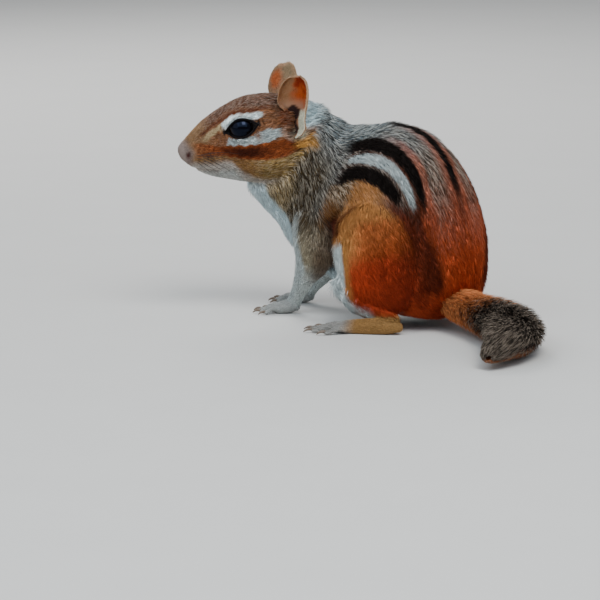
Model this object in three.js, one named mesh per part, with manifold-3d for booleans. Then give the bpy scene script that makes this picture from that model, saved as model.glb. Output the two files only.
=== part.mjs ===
// An eastern chipmunk at life size, crouched on all fours with its back humped and its head turned left,
// its tail laid along the floor. Millimetres, +Z up, the hips face -Y and the animal's left is +X.
// The trunk is one loft of sections from the tail root to the neck, and the head is a second loft.
// Thin cuts part them, and each limb, ear and the tail is cut clear of what it grows from by the same gap.
import * as THREE from "three";
import { mergeVertices } from "three/addons/utils/BufferGeometryUtils.js";
import Module from "manifold-3d";

const wasm = await Module();
wasm.setup();

// Driving dimensions
const GAP = 0.3; // between neighbouring pieces
const FOOTPRINT_CENTRE = [3.1, 6.4]; // of the whole animal, measured in the hips' frame
const FLOOR_SIZE = 400;

// Head: a skull axis from the nose tip, seen from the hips' frame
const NOSE_TIP = [43.6, -65.3, 55.8];
const HEAD_YAW = 50; // degrees to the animal's left
const HEAD_PITCH = -13.5; // degrees, nose down
const EYE_RADIUS = 4.3;
const EYE_PLACE = [21.3, 7.8, 2.7]; // behind the nose, out to the side, above the axis
const MOUTH_DEPTH = 0.9;
const LID_THICKNESS = 0.55;
const LID_OPENING = [5.4, 3.35]; // half length and half height of the almond
const EAR_HEIGHT = 20.6;
const EAR_WALL = 0.95;

// Tail
const TAIL_LENGTH = 88; // along its line, to the tips of the last hairs
const TAIL_WIDTH = 21;
const TAIL_HEIGHT = 14.5;
const LOCK_LENGTH = 19;
const LOCK_WIDTH = 3.6;
const LOCK_THICKNESS = 1.3;

const COLOURS = {
  back: 0x8a6a4e,
  rufous: 0x9c4a1c,
  cream: 0xd9d2c0,
  ear: 0xb5764a,
  eye: 0x0b0b10,
  foot: 0xb58a5a,
  tail: 0x6e5a48,
};

const vector = (p) => new THREE.Vector3(...p);
const radians = THREE.MathUtils.degToRad;

// A smooth value at t, from 0 to 1, through equally spaced knots (Catmull-Rom).
function through(knots, t) {
  const last = knots.length - 1;
  const place = Math.min(Math.max(t, 0), 1) * last;
  const i = Math.min(Math.floor(place), last - 1);
  const f = place - i;
  const at = (j) => {
    if (j < 0) return 2 * knots[0] - knots[1];
    if (j > last) return 2 * knots[last] - knots[last - 1];
    return knots[j];
  };
  const [p0, p1, p2, p3] = [at(i - 1), at(i), at(i + 1), at(i + 2)];
  return (
    p1 +
    0.5 * f * (p2 - p0 + f * (2 * p0 - 5 * p1 + 4 * p2 - p3 + f * (3 * (p1 - p2) + p3 - p0)))
  );
}

// The same for rows of values: one smooth line through each column.
const rowAt = (rows, t) => rows[0].map((_, k) => through(rows.map((row) => row[k]), t));

// A closed solid from a geometry whose vertices may repeat along seams.
function solid(geometry) {
  const bare = geometry.clone();
  bare.deleteAttribute("normal");
  bare.deleteAttribute("uv");
  const merged = mergeVertices(bare, 1e-4);
  const made = new wasm.Manifold(
    new wasm.Mesh({
      numProp: 3,
      vertProperties: merged.attributes.position.array,
      triVerts: new Uint32Array(merged.index.array),
    }),
  );
  if (made.volume() > 0) return made;
  const index = merged.index.array;
  for (let i = 0; i < index.length; i += 3) [index[i + 1], index[i + 2]] = [index[i + 2], index[i + 1]];
  return new wasm.Manifold(
    new wasm.Mesh({
      numProp: 3,
      vertProperties: merged.attributes.position.array,
      triVerts: new Uint32Array(index),
    }),
  );
}

// A solid skinned over rings of points, closed by a pole at each end.
function ringSolid(rings, startPole, endPole) {
  const around = rings[0].length;
  const points = [startPole, ...rings.flat(), endPole];
  const end = points.length - 1;
  const index = [];
  for (let k = 0; k < around; k++) {
    const next = (k + 1) % around;
    index.push(0, 1 + next, 1 + k);
    for (let r = 0; r < rings.length - 1; r++) {
      const a = 1 + r * around;
      const b = a + around;
      index.push(a + k, a + next, b + k, b + k, a + next, b + next);
    }
    const tail = end - around;
    index.push(tail + k, tail + next, end);
  }
  const geometry = new THREE.BufferGeometry().setFromPoints(points).setIndex(index);
  return solid(geometry);
}

// An ellipsoid with its half sizes along three axes given by a rotation in degrees.
function ellipsoid(centre, halves, turn = [0, 0, 0], grow = 0, detail = 16) {
  const ball = new THREE.SphereGeometry(1, detail, Math.round(detail * 0.7));
  ball.scale(...halves.map((h) => h + grow));
  ball.applyMatrix4(new THREE.Matrix4().makeRotationFromEuler(new THREE.Euler(...turn.map(radians), "ZYX")));
  ball.translate(...centre);
  return solid(ball);
}

// A tube of oval sections along a smooth path. Rows hold x, y, z, half height across and half width.
function limb(rows, steps, around, grow = 0, yaw = 0) {
  const side = new THREE.Vector3(Math.cos(radians(yaw)), Math.sin(radians(yaw)), 0);
  const path = (t) => vector(rowAt(rows, t).slice(0, 3));
  const rings = [];
  for (let s = 0; s <= steps; s++) {
    const t = s / steps;
    const [, , , high, wide] = rowAt(rows, t);
    const along = path(t + 0.02).sub(path(t - 0.02));
    if (s === 0) along.copy(path(0.04).sub(path(0)));
    if (s === steps) along.copy(path(1).sub(path(0.96)));
    along.normalize();
    const across = side.clone().addScaledVector(along, -side.dot(along)).normalize();
    const up = new THREE.Vector3().crossVectors(across, along);
    const ring = [];
    for (let k = 0; k < around; k++) {
      const turn = (2 * Math.PI * k) / around;
      ring.push(
        path(t)
          .addScaledVector(across, (wide + grow) * Math.cos(turn))
          .addScaledVector(up, (high + grow) * Math.sin(turn)),
      );
    }
    rings.push(ring);
  }
  const first = rowAt(rows, 0);
  const last = rowAt(rows, 1);
  const out = path(0).sub(path(0.04)).normalize();
  const on = path(1).sub(path(0.96)).normalize();
  const start = path(0).addScaledVector(out, 0.45 * Math.min(first[3], first[4]) + grow);
  const end = path(1).addScaledVector(on, 0.45 * Math.min(last[3], last[4]) + grow);
  return ringSolid(rings, start, end);
}

// Trunk sections from the tail root to inside the head: the point on the back, the point under the belly,
// the half width, the yaw of the section in degrees and how much wider it is below than above.
const TRUNK = [
  [0, 22.5, 10, 0, 17, 5.5, 5, 0, 0],
  [0, 25.8, 18, 0, 13, 3.6, 13.2, 0, 0.05],
  [0, 26.4, 28, 0, 6, 3, 18.4, 0, 0.1],
  [0, 25, 39, 0.3, -2, 3, 21.8, 0, 0.12],
  [0, 21.6, 49.5, 0.7, -9, 3.5, 23.3, 2, 0.14],
  [0, 15.5, 58.5, 1.2, -16, 5, 23.6, 5, 0.14],
  [0, 6, 64.8, 2, -22.5, 8, 22.2, 10, 0.12],
  [0.5, -5, 66.6, 3.2, -29, 11.5, 20.2, 16, 0.1],
  [1.5, -15, 65, 5, -35, 16, 18.2, 23, 0.08],
  [3, -23.5, 64.6, 9, -43, 21, 16.4, 31, 0.05],
  [5.2, -29.5, 67.6, 13, -47.6, 29, 14.4, 39, 0],
  [7.4, -33.8, 70.6, 18.2, -51.8, 36.4, 12.8, 46, 0],
  [11.5, -38.6, 70.4, 22.8, -54.4, 42, 11.8, 50, 0],
  [18, -45, 64, 25.4, -53.6, 49, 8.4, 50, 0],
];
const TRUNK_STEPS = 30;
const TRUNK_AROUND = 26;

function trunk(grow) {
  const middles = [];
  const rings = [];
  for (let s = 0; s <= TRUNK_STEPS; s++) {
    const [bx, by, bz, vx, vy, vz, half, yaw, low] = rowAt(TRUNK, s / TRUNK_STEPS);
    const back = new THREE.Vector3(bx, by, bz);
    const belly = new THREE.Vector3(vx, vy, vz);
    const middle = back.clone().add(belly).multiplyScalar(0.5);
    const rise = back.clone().sub(belly).multiplyScalar(0.5);
    rise.setLength(rise.length() + grow);
    const side = new THREE.Vector3(Math.cos(radians(yaw)), Math.sin(radians(yaw)), 0);
    const ring = [];
    for (let k = 0; k < TRUNK_AROUND; k++) {
      const turn = (2 * Math.PI * k) / TRUNK_AROUND;
      const wide = (half + grow) * (1 - low * Math.sin(turn));
      ring.push(
        middle
          .clone()
          .addScaledVector(side, wide * Math.cos(turn))
          .addScaledVector(rise, Math.sin(turn)),
      );
    }
    rings.push(ring);
    middles.push(middle);
  }
  const n = middles.length - 1;
  const start = middles[0].clone().addScaledVector(middles[0].clone().sub(middles[1]).normalize(), 2 + grow);
  const end = middles[n].clone().addScaledVector(middles[n].clone().sub(middles[n - 1]).normalize(), 2 + grow);
  return ringSolid(rings, start, end);
}

// The head's own axes: forward, to its left and up
const yaw = radians(HEAD_YAW);
const pitch = radians(HEAD_PITCH);
const FORWARD = new THREE.Vector3(
  Math.sin(yaw) * Math.cos(pitch),
  -Math.cos(yaw) * Math.cos(pitch),
  Math.sin(pitch),
);
const LEFT = new THREE.Vector3(Math.cos(yaw), Math.sin(yaw), 0);
const UP = new THREE.Vector3().crossVectors(FORWARD, LEFT);
const HEAD_TURN = new THREE.Matrix4().makeBasis(FORWARD, LEFT, UP);

// A point of the head: how far behind the nose tip, out to the left and above the axis.
function onHead(behind, left, up) {
  return vector(NOSE_TIP)
    .addScaledVector(FORWARD, -behind)
    .addScaledVector(LEFT, left)
    .addScaledVector(UP, up);
}

// An ellipsoid placed and turned with the head, half sizes forward, sideways and up.
function headBall(behind, left, up, halves, turn = [0, 0, 0], grow = 0, detail = 16) {
  const ball = new THREE.SphereGeometry(1, detail, Math.round(detail * 0.7));
  ball.scale(...halves.map((h) => h + grow));
  ball.applyMatrix4(new THREE.Matrix4().makeRotationFromEuler(new THREE.Euler(...turn.map(radians), "ZYX")));
  ball.applyMatrix4(HEAD_TURN);
  ball.translate(...onHead(behind, left, up));
  return solid(ball);
}

// Head sections: behind the nose tip, top line, bottom line, half width and how much wider below.
const HEAD = [
  [0.35, 0.8, -2.9, 1.9, 0],
  [1.4, 1.8, -4.5, 3, 0],
  [3.2, 3, -6.3, 4, 0.05],
  [6.2, 5.6, -8.9, 5.2, 0.08],
  [10.3, 8.4, -11.4, 6.6, 0.1],
  [14.8, 10.4, -13.8, 8, 0.1],
  [19.5, 11.6, -15.8, 9.3, 0.1],
  [24.5, 12.3, -17.2, 10.4, 0.1],
  [29.5, 12.2, -17.2, 11.1, 0.08],
  [34.5, 11.2, -16.4, 11.4, 0.04],
  [39.5, 9.2, -15, 10.8, 0],
  [44.5, 6.2, -12, 9, 0],
  [48.2, 2.4, -7.5, 5, 0],
];
const HEAD_STEPS = 26;
const HEAD_AROUND = 26;
const FULLNESS = 0.86; // below 1 squares the sections of the head a little

// Swellings: behind the nose, degrees above the side, reach along in mm and round in degrees, height.
const SWELLINGS = [
  [27, -30, 9, 36, 1.5], // cheek
  [7.4, -26, 3.6, 34, 1.1], // whisker pad
  [21.3, 17, 6.4, 27, 1.7], // round the eye
  [13.6, 4, 3.4, 30, -0.5], // hollow before the eye
  [9, -90, 4.2, 26, 0.6], // chin
];

const signedPower = (value, power) => Math.sign(value) * Math.abs(value) ** power;

function skull(grow) {
  const rings = [];
  for (let s = 0; s <= HEAD_STEPS; s++) {
    const [behind, top, bottom, half, low] = rowAt(HEAD, s / HEAD_STEPS);
    const ring = [];
    for (let k = 0; k < HEAD_AROUND; k++) {
      const turn = (2 * Math.PI * (k + 0.5)) / HEAD_AROUND;
      const above = THREE.MathUtils.radToDeg(Math.atan2(Math.sin(turn), Math.abs(Math.cos(turn))));
      let out = grow;
      for (const [b, at, along, round, height] of SWELLINGS) {
        out += height * Math.exp(-(((behind - b) / along) ** 2) - ((above - at) / round) ** 2);
      }
      const wide = half * (1 - low * Math.sin(turn)) + out;
      const high = (top - bottom) / 2 + out;
      ring.push(
        onHead(
          behind,
          wide * signedPower(Math.cos(turn), FULLNESS),
          (top + bottom) / 2 + high * signedPower(Math.sin(turn), FULLNESS),
        ),
      );
    }
    rings.push(ring);
  }
  return ringSolid(rings, onHead(-0.1 - grow, 0, -1), onHead(49.6 + grow, 0, -2.5));
}

const SIDES = [1, -1]; // the animal's left, then its right

function eyeball(side, grow) {
  const [behind, out, up] = EYE_PLACE;
  const ball = new THREE.SphereGeometry(EYE_RADIUS + grow, 16, 10);
  ball.translate(...onHead(behind, side * out, up));
  return solid(ball);
}

// The lids are a shell round the eyeball, opened by an almond whose corners lie fore and aft.
function lids(side) {
  const [behind, out, up] = EYE_PLACE;
  const centre = onHead(behind, side * out, up);
  const look = new THREE.Vector3()
    .addScaledVector(FORWARD, 0.1)
    .addScaledVector(LEFT, side)
    .addScaledVector(UP, 0.14)
    .normalize();
  const level = FORWARD.clone().addScaledVector(look, -FORWARD.dot(look)).normalize();
  const over = new THREE.Vector3().crossVectors(look, level).multiplyScalar(side);
  const rings = [1.2, 12].map((depth) =>
    [...Array(16).keys()].map((k) => {
      const turn = (2 * Math.PI * k) / 16;
      const high = LID_OPENING[1] * Math.sin(turn) * Math.abs(Math.sin(turn)) ** 0.35;
      return centre
        .clone()
        .addScaledVector(look, depth)
        .addScaledVector(level, LID_OPENING[0] * Math.cos(turn))
        .addScaledVector(over, high);
    }),
  );
  const opening = ringSolid(
    rings,
    centre.clone().addScaledVector(look, 1.1),
    centre.clone().addScaledVector(look, 12.1),
  );
  const shell = new THREE.SphereGeometry(EYE_RADIUS + GAP + LID_THICKNESS, 18, 12);
  shell.translate(...centre);
  return { shell: solid(shell), opening };
}

// The mouth is a thin slanting plate that bites a little way into the muzzle.
function mouthLine() {
  const plate = new THREE.BoxGeometry(12.4, 30, 0.55);
  plate.applyMatrix4(new THREE.Matrix4().makeRotationY(radians(-17)));
  plate.applyMatrix4(HEAD_TURN);
  plate.translate(...onHead(6.8, 0, -7.9));
  return solid(plate).subtract(skull(-MOUTH_DEPTH));
}

// Ear sections from the base to the tip: share of the height, half width, depth of the cup and
// how far the margins curl round, in degrees either way from the middle of the back.
const EAR = [
  [0, 1.8, 2.4, 124],
  [0.12, 2.7, 3.7, 116],
  [0.28, 3.6, 4.4, 104],
  [0.46, 4.4, 4.2, 94],
  [0.64, 4.8, 3.4, 84],
  [0.8, 4.5, 2.3, 74],
  [0.92, 3.4, 1.3, 64],
  [0.985, 1.8, 0.6, 50],
];
const EAR_STEPS = 11;
const EAR_ACROSS = 11;
const EAR_LEAN = 1.7; // how far the tip leans back
// The ears' bases: behind the nose, out to the side, above the axis. The right one is pricked a little.
const EAR_BASES = { left: [37.5, 13, -3.6], right: [36.8, 13, -2] };

function ear(name) {
  const side = name === "left" ? 1 : -1;
  const mouth = new THREE.Vector3()
    .addScaledVector(FORWARD, 0.3)
    .addScaledVector(LEFT, side * 0.92)
    .addScaledVector(UP, 0.1)
    .normalize();
  const tip = new THREE.Vector3()
    .addScaledVector(FORWARD, -0.19)
    .addScaledVector(LEFT, side * 0.03)
    .addScaledVector(UP, 0.98);
  tip.addScaledVector(mouth, -tip.dot(mouth)).normalize();
  const aft = new THREE.Vector3().crossVectors(tip, mouth).multiplyScalar(side);
  const [behind, out, up] = EAR_BASES[name];
  const base = onHead(behind, side * out, up);
  // A point of the cup at a share of the height, across from the fore margin to the aft one.
  const at = (share, across, inner) => {
    const [height, wide, deep, curl] = rowAt(EAR, share);
    const turn = radians(curl) * across;
    const wall = inner ? 0 : EAR_WALL * (1 - 0.35 * Math.abs(across));
    const spread = curl > 90 ? 1 : Math.sin(radians(curl));
    const x = ((wide + wall) * Math.sin(turn)) / spread;
    const rim = Math.cos(radians(curl));
    const z = (-(deep + wall) * (Math.cos(turn) - rim)) / (1 - rim) - (inner ? 0 : 0.25);
    const lean = 1.1 * (height - 0.5) ** 2;
    const swept = EAR_LEAN * Math.max(0, (height - 0.42) / 0.58) ** 1.4;
    return base
      .clone()
      .addScaledVector(tip, height * EAR_HEIGHT)
      .addScaledVector(aft, x + swept)
      .addScaledVector(mouth, z + lean);
  };
  const rings = [];
  const acrosses = [...Array(EAR_ACROSS).keys()].map((k) => (2 * k) / (EAR_ACROSS - 1) - 1);
  for (let s = 0; s <= EAR_STEPS; s++) {
    const share = s / EAR_STEPS;
    const inner = acrosses.map((across) => at(share, across, true));
    const outer = acrosses.map((across) => at(share, -across, false));
    rings.push([...inner, ...outer]);
  }
  const middle = (share) => at(share, 0, true).lerp(at(share, 0, false), 0.5);
  const start = middle(0).addScaledVector(tip, -0.6);
  const end = middle(1).addScaledVector(tip, 0.5);
  return ringSolid(rings, start, end);
}

// Legs
const THIGH = { out: 17, back: { left: 0.6, right: -2 }, up: 24.5, halves: [10, 18.5, 21.5], lean: 12 };

function thigh(name, grow) {
  const { out, back, up, halves, lean } = THIGH;
  const side = name === "left" ? 1 : -1;
  const haunch = ellipsoid([side * out, back[name], up], halves, [lean, 0, side * -8], grow, 18);
  const shank = limb(
    [
      [side * 17.2, -11.6, 15.4, 6.2, 5.8],
      [side * 18.4, -4.6, 10.6, 6.5, 5.6],
      [side * 19.6, 5, 7.4, 5.2, 4.8],
      [side * 20.2, 13.2, 5.2, 3.4, 3.3],
    ],
    5,
    11,
    grow,
  );
  return haunch.add(shank);
}

// Each foreleg goes from a broad shoulder over the elbow to the wrist.
const FORELEGS = {
  left: { shoulder: [14.5, -27, 40], elbow: [18, -26.6, 20.5], wrist: [14.4, -38.6, 4.6], yaw: 24 },
  right: { shoulder: [-8.5, -34.5, 40], elbow: [-12.4, -36.5, 20.5], wrist: [-2.8, -48.6, 4.6], yaw: 24 },
};

function foreleg(name, grow) {
  const { shoulder, elbow, wrist, yaw: turned } = FORELEGS[name];
  const between = (a, b, f) => a.map((v, k) => v + (b[k] - v) * f);
  return limb(
    [
      [...shoulder, 8, 4.5],
      [...between(shoulder, elbow, 0.5), 8.6, 6.2],
      [...elbow, 6.8, 5.2],
      [...between(elbow, wrist, 0.45), 4.3, 3.7],
      [...between(elbow, wrist, 0.8), 3, 2.9],
      [...wrist, 2.7, 2.7],
    ],
    12,
    16,
    grow,
    turned,
  );
}

// A toe bends down from its knuckle to the floor and ends in a claw.
function toe(root, heading, length, thick, claw) {
  const step = new THREE.Vector3(Math.sin(radians(heading)), -Math.cos(radians(heading)), 0);
  const at = (f, up) => {
    const p = vector(root).addScaledVector(step, length * f);
    return [p.x, p.y, up];
  };
  const flesh = limb(
    [
      [...at(-0.1, root[2]), thick, thick],
      [...at(0.35, root[2] + 0.35 * thick), thick, thick * 0.95],
      [...at(0.75, thick * 0.9), thick * 0.92, thick],
      [...at(1, thick * 0.7), thick * 0.66, thick * 0.8],
    ],
    4,
    6,
    0,
    heading,
  );
  const nail = limb(
    [
      [...at(0.9, thick * 0.95), thick * 0.5, thick * 0.36],
      [...at(1 + (0.55 * claw) / length, thick * 1.05), thick * 0.4, thick * 0.28],
      [...at(1 + claw / length, thick * 0.42), 0.24, 0.2],
    ],
    2,
    4,
    0,
    heading,
  );
  return flesh.add(nail);
}

// A paw is a palm with its toes fanned from the knuckles.
function paw(palm, toes) {
  return toes.reduce((made, t) => made.add(toe(...t)), palm);
}

function forepaw(name) {
  const { wrist } = FORELEGS[name];
  const heading = { left: 38, right: 22 }[name];
  const step = new THREE.Vector3(Math.sin(radians(heading)), -Math.cos(radians(heading)), 0);
  const across = new THREE.Vector3(Math.cos(radians(heading)), Math.sin(radians(heading)), 0);
  const at = (on, out, up) => {
    const p = new THREE.Vector3(wrist[0], wrist[1], 0).addScaledVector(step, on).addScaledVector(across, out);
    return [p.x, p.y, up];
  };
  const palm = limb(
    [
      [...at(-0.6, 0, 3.4), 2.6, 2.5],
      [...at(2.2, 0, 2.3), 2.6, 3.1],
      [...at(5.4, 0, 1.6), 2.2, 3.5],
      [...at(7, 0, 1.5), 1.7, 3],
    ],
    6,
    12,
    0,
    heading,
  );
  const fan = [-27, -9, 9, 27];
  const lengths = [4.8, 6.2, 6, 4.6];
  return paw(
    palm,
    fan.map((spread, k) => [at(6.2, (k - 1.5) * 1.75, 1.7), heading + spread, lengths[k], 1.15, 2.1]),
  );
}

const HIND_HEADING = { left: 29, right: -29 };
const HEEL = [20, 14.5];
const FOOT_TO_TOES = 21;

function hindFoot(name) {
  const side = name === "left" ? 1 : -1;
  const heading = HIND_HEADING[name];
  const step = new THREE.Vector3(Math.sin(radians(heading)), -Math.cos(radians(heading)), 0);
  const across = new THREE.Vector3(Math.cos(radians(heading)), Math.sin(radians(heading)), 0);
  const at = (on, out, up) => {
    const p = new THREE.Vector3(side * HEEL[0], HEEL[1], 0).addScaledVector(step, on).addScaledVector(across, out);
    return [p.x, p.y, up];
  };
  const sole = limb(
    [
      [...at(-0.5, 0, 3.1), 2.1, 1.8],
      [...at(1.6, 0, 2.8), 2.8, 2.5],
      [...at(5, 0, 2.5), 3, 2.9],
      [...at(12, 0, 2.1), 2.8, 3.3],
      [...at(18, 0, 1.8), 2.4, 3.9],
      [...at(FOOT_TO_TOES, 0, 1.6), 1.9, 3.6],
    ],
    7,
    12,
    0,
    heading,
  );
  const fan = [-30, -12, 0, 12, 26]; // from the inner toe of a left foot
  const lengths = [6, 9, 10, 9.6, 7.4];
  const setBack = [4.6, 0.6, 0, 0.4, 2.6];
  return paw(
    sole,
    fan.map((spread, k) => [
      at(FOOT_TO_TOES - 1 - setBack[k], side * (k - 2) * -1.75 * -1, 1.7),
      heading + side * spread,
      lengths[k],
      1.3,
      2.6,
    ]),
  );
}

// Tail: the line it lies along, as a root in the rump and an arc over the floor to the animal's left
const TAIL_LINE = [
  [0.4, 12, 11.5],
  [1.2, 23, 9.4],
  [2.6, 34.5, 7.5],
  [6.4, 46.5, 7],
  [13.2, 57.5, 7],
  [22.6, 66.5, 7],
  [33.6, 73, 6.6],
  [45.4, 77, 4.6],
];
const tailSpot = (t) => vector(rowAt(TAIL_LINE, t));

// How full the coat is along the tail, from the narrow root to the brush and its tip.
const coatAt = (t) => through([0.66, 0.72, 0.86, 0.98, 1.02, 1, 0.92, 0.66, 0.16], t);

// The tail's axes at t: along it, across the floor and up.
function tailAxes(t) {
  const along = tailSpot(Math.min(t + 0.02, 1)).sub(tailSpot(Math.max(t - 0.02, 0))).normalize();
  const across = new THREE.Vector3(-along.y, along.x, 0).normalize();
  return { along, across, up: new THREE.Vector3().crossVectors(along, across) };
}

// A point off the tail's line at a share of the full coat, at a turn round it.
function tailPoint(t, turn, share) {
  const { across, up } = tailAxes(t);
  const full = coatAt(t) * share;
  return tailSpot(t)
    .addScaledVector(across, (TAIL_WIDTH / 2) * full * Math.cos(turn))
    .addScaledVector(up, (TAIL_HEIGHT / 2) * full * Math.sin(turn));
}

function tailCore() {
  const around = 14;
  const steps = 20;
  const rings = [];
  for (let s = 0; s <= steps; s++) {
    const t = (s / steps) * 0.86;
    const share = 0.82 - 0.34 * THREE.MathUtils.smoothstep(t, 0.12, 0.3);
    rings.push([...Array(around).keys()].map((k) => tailPoint(t, (2 * Math.PI * k) / around, share)));
  }
  return ringSolid(rings, tailSpot(0), tailSpot(0.9));
}

// A lock rises from the core, bends over and runs back along the tail to the edge of the coat.
function tailLock(t, turn, length, width, share) {
  const stations = [
    [0, 0.3, 0.7],
    [0.3, 0.62, 1],
    [0.66, 0.88, 0.8],
  ];
  const end = Math.min(t + length / TAIL_LENGTH, 1);
  const at = (f, s) => tailPoint(t + (end - t) * f, turn, s * share);
  const rings = stations.map(([f, s, wide]) => {
    const middle = at(f, s);
    const out = at(f, s + 0.1).sub(middle).normalize();
    const { along } = tailAxes(t + (end - t) * f);
    const across = new THREE.Vector3().crossVectors(along, out).normalize();
    const half = (width / 2) * wide;
    const thick = (LOCK_THICKNESS / 2) * wide;
    return [
      middle.clone().addScaledVector(across, half),
      middle.clone().addScaledVector(out, thick),
      middle.clone().addScaledVector(across, -half),
      middle.clone().addScaledVector(out, -thick),
    ];
  });
  return ringSolid(rings, at(-0.05, 0.2), at(1, 1));
}

// A small repeatable random number from 0 to 1.
function seeded(seed) {
  let state = seed;
  return () => {
    state = (state * 1664525 + 1013904223) % 4294967296;
    return state / 4294967296;
  };
}

function tail() {
  const random = seeded(7);
  const rows = 8;
  let made = tailCore();
  for (let row = 0; row < rows; row++) {
    const t = 0.12 + (0.7 * row) / (rows - 1);
    const count = Math.round(9.4 * Math.min(coatAt(t), 1));
    for (let k = 0; k < count; k++) {
      const turn = (2 * Math.PI * (k + 0.5 * (row % 2) + 0.3 * (random() - 0.5))) / count;
      const length = LOCK_LENGTH * (0.85 + 0.3 * random());
      const width = LOCK_WIDTH * (0.85 + 0.3 * random());
      made = made.add(tailLock(t, turn, length, width, 0.94 + 0.12 * random()));
    }
  }
  return made;
}

// Floor and cutting planes
function floorBlock() {
  const block = new THREE.BoxGeometry(FLOOR_SIZE, FLOOR_SIZE, 40);
  block.translate(0, 0, -20);
  return solid(block);
}

// A thin plate across the trunk at t, as wide as asked, to part it there.
function slice(t, size) {
  const [bx, by, bz, vx, vy, vz, , yaw] = rowAt(TRUNK, t);
  const rise = new THREE.Vector3(bx - vx, by - vy, bz - vz).normalize();
  const side = new THREE.Vector3(Math.cos(radians(yaw)), Math.sin(radians(yaw)), 0);
  side.addScaledVector(rise, -side.dot(rise)).normalize();
  const plate = new THREE.BoxGeometry(size, size, GAP);
  plate.applyMatrix4(new THREE.Matrix4().makeBasis(side, rise, new THREE.Vector3().crossVectors(side, rise)));
  plate.translate((bx + vx) / 2, (by + vy) / 2, (bz + vz) / 2);
  return solid(plate);
}

const middleOf = (made) => {
  const { min, max } = made.boundingBox();
  return min.map((v, k) => (v + max[k]) / 2);
};
const largest = (made) => made.decompose().sort((a, b) => b.volume() - a.volume())[0];

// Assembly
const floor = floorBlock();
const trunkGrown = trunk(GAP);
const headGrown = skull(GAP);
const eyes = { left: eyeball(1, 0), right: eyeball(-1, 0) };

let body = skull(0).add(trunk(0));
for (const side of SIDES) {
  const { shell, opening } = lids(side);
  body = body.add(shell).subtract(opening).subtract(eyeball(side, GAP));
}
body = body.subtract(mouthLine());
for (const side of SIDES) {
  body = body.subtract(headBall(2.3, side * 3, -2.6, [1.5, 1.1, 0.8], [0, -35, 0], 0, 10)); // nostril
  body = body.subtract(headBall(38.8, side * 11.4, 4.2, [2.1, 3, 1.7], [0, 0, 0], 0, 12)); // ear canal
}
const CUTS = { neck: [0.875, 60], torso: [0.72, 90] };
for (const [t, size] of Object.values(CUTS)) body = body.subtract(slice(t, size));
const TRUNK_NAMES = ["torso", "neck", "head"];
const trunkPieces = body
  .decompose()
  .filter((piece) => piece.volume() > 50)
  .sort((a, b) => middleOf(b)[1] - middleOf(a)[1]);

const made = {};
TRUNK_NAMES.forEach((name, k) => {
  made[name] = trunkPieces[k];
});
for (const [name, side] of Object.entries({ left: 1, right: -1 })) {
  made[`${name}_eye`] = eyes[name];
  made[`${name}_ear`] = largest(ear(name).subtract(headGrown).subtract(trunkGrown));
  made[`${name}_thigh`] = largest(thigh(name, 0).subtract(trunkGrown).subtract(floor));
  made[`${name}_hind_foot`] = largest(
    hindFoot(name).subtract(thigh(name, GAP)).subtract(trunkGrown).subtract(floor),
  );
  made[`${name}_foreleg`] = largest(foreleg(name, 0).subtract(trunkGrown).subtract(floor));
  made[`${name}_forepaw`] = largest(forepaw(name).subtract(foreleg(name, GAP)).subtract(floor));
}
made.tail = largest(tail().subtract(trunkGrown).subtract(floor));

const FINISH = {
  head: "back",
  neck: "back",
  torso: "back",
  ear: "ear",
  eye: "eye",
  thigh: "rufous",
  foot: "foot",
  foreleg: "back",
  forepaw: "foot",
  tail: "tail",
};

const chipmunk = new THREE.Group();
for (const [name, piece] of Object.entries(made)) {
  const { vertProperties, triVerts, numProp } = piece.getMesh();
  const places = new Float32Array((vertProperties.length / numProp) * 3);
  for (let i = 0; i < places.length / 3; i++) {
    places.set(vertProperties.subarray(i * numProp, i * numProp + 3), i * 3);
  }
  const geometry = new THREE.BufferGeometry();
  geometry.setAttribute("position", new THREE.BufferAttribute(places, 3));
  geometry.setIndex(new THREE.BufferAttribute(triVerts, 1));
  geometry.computeVertexNormals();
  const kind = FINISH[name] ?? FINISH[name.split("_").pop()];
  const material = new THREE.MeshStandardMaterial({
    color: COLOURS[kind],
    roughness: kind === "eye" ? 0.08 : 0.85,
    metalness: 0,
  });
  const mesh = new THREE.Mesh(geometry, material);
  mesh.name = name;
  chipmunk.add(mesh);
}
chipmunk.position.set(-FOOTPRINT_CENTRE[0], -FOOTPRINT_CENTRE[1], 0);

const frame = new THREE.Group();
frame.add(chipmunk);
export default frame;
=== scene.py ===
# %% [markdown]
# # A chipmunk at life size, dressed for a museum case
#
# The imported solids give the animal's size, pose and outline. This lesson grows a finished animal round
# them: one continuous skin, a coat of small solid tufts with the stripes in it, wet eyes with lids,
# thin ears, claws and whiskers. Everything is first worked out in millimetres, in the frame of the
# animal's hips, because those numbers are easy to picture, and is turned into metres at the very end.

import math

import bpy
import numpy as np
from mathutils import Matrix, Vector


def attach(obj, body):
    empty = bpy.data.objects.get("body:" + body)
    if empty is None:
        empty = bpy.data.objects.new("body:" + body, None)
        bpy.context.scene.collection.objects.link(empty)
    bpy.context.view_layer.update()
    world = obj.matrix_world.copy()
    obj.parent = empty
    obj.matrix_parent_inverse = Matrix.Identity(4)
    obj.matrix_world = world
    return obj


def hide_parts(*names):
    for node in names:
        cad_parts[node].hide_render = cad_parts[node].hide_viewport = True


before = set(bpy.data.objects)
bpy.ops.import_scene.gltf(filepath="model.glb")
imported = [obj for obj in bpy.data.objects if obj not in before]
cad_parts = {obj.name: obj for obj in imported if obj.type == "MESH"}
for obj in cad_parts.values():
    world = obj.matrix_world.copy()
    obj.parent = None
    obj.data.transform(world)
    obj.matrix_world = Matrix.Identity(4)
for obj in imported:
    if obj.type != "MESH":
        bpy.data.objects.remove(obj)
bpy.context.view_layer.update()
BODY = "root"

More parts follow.
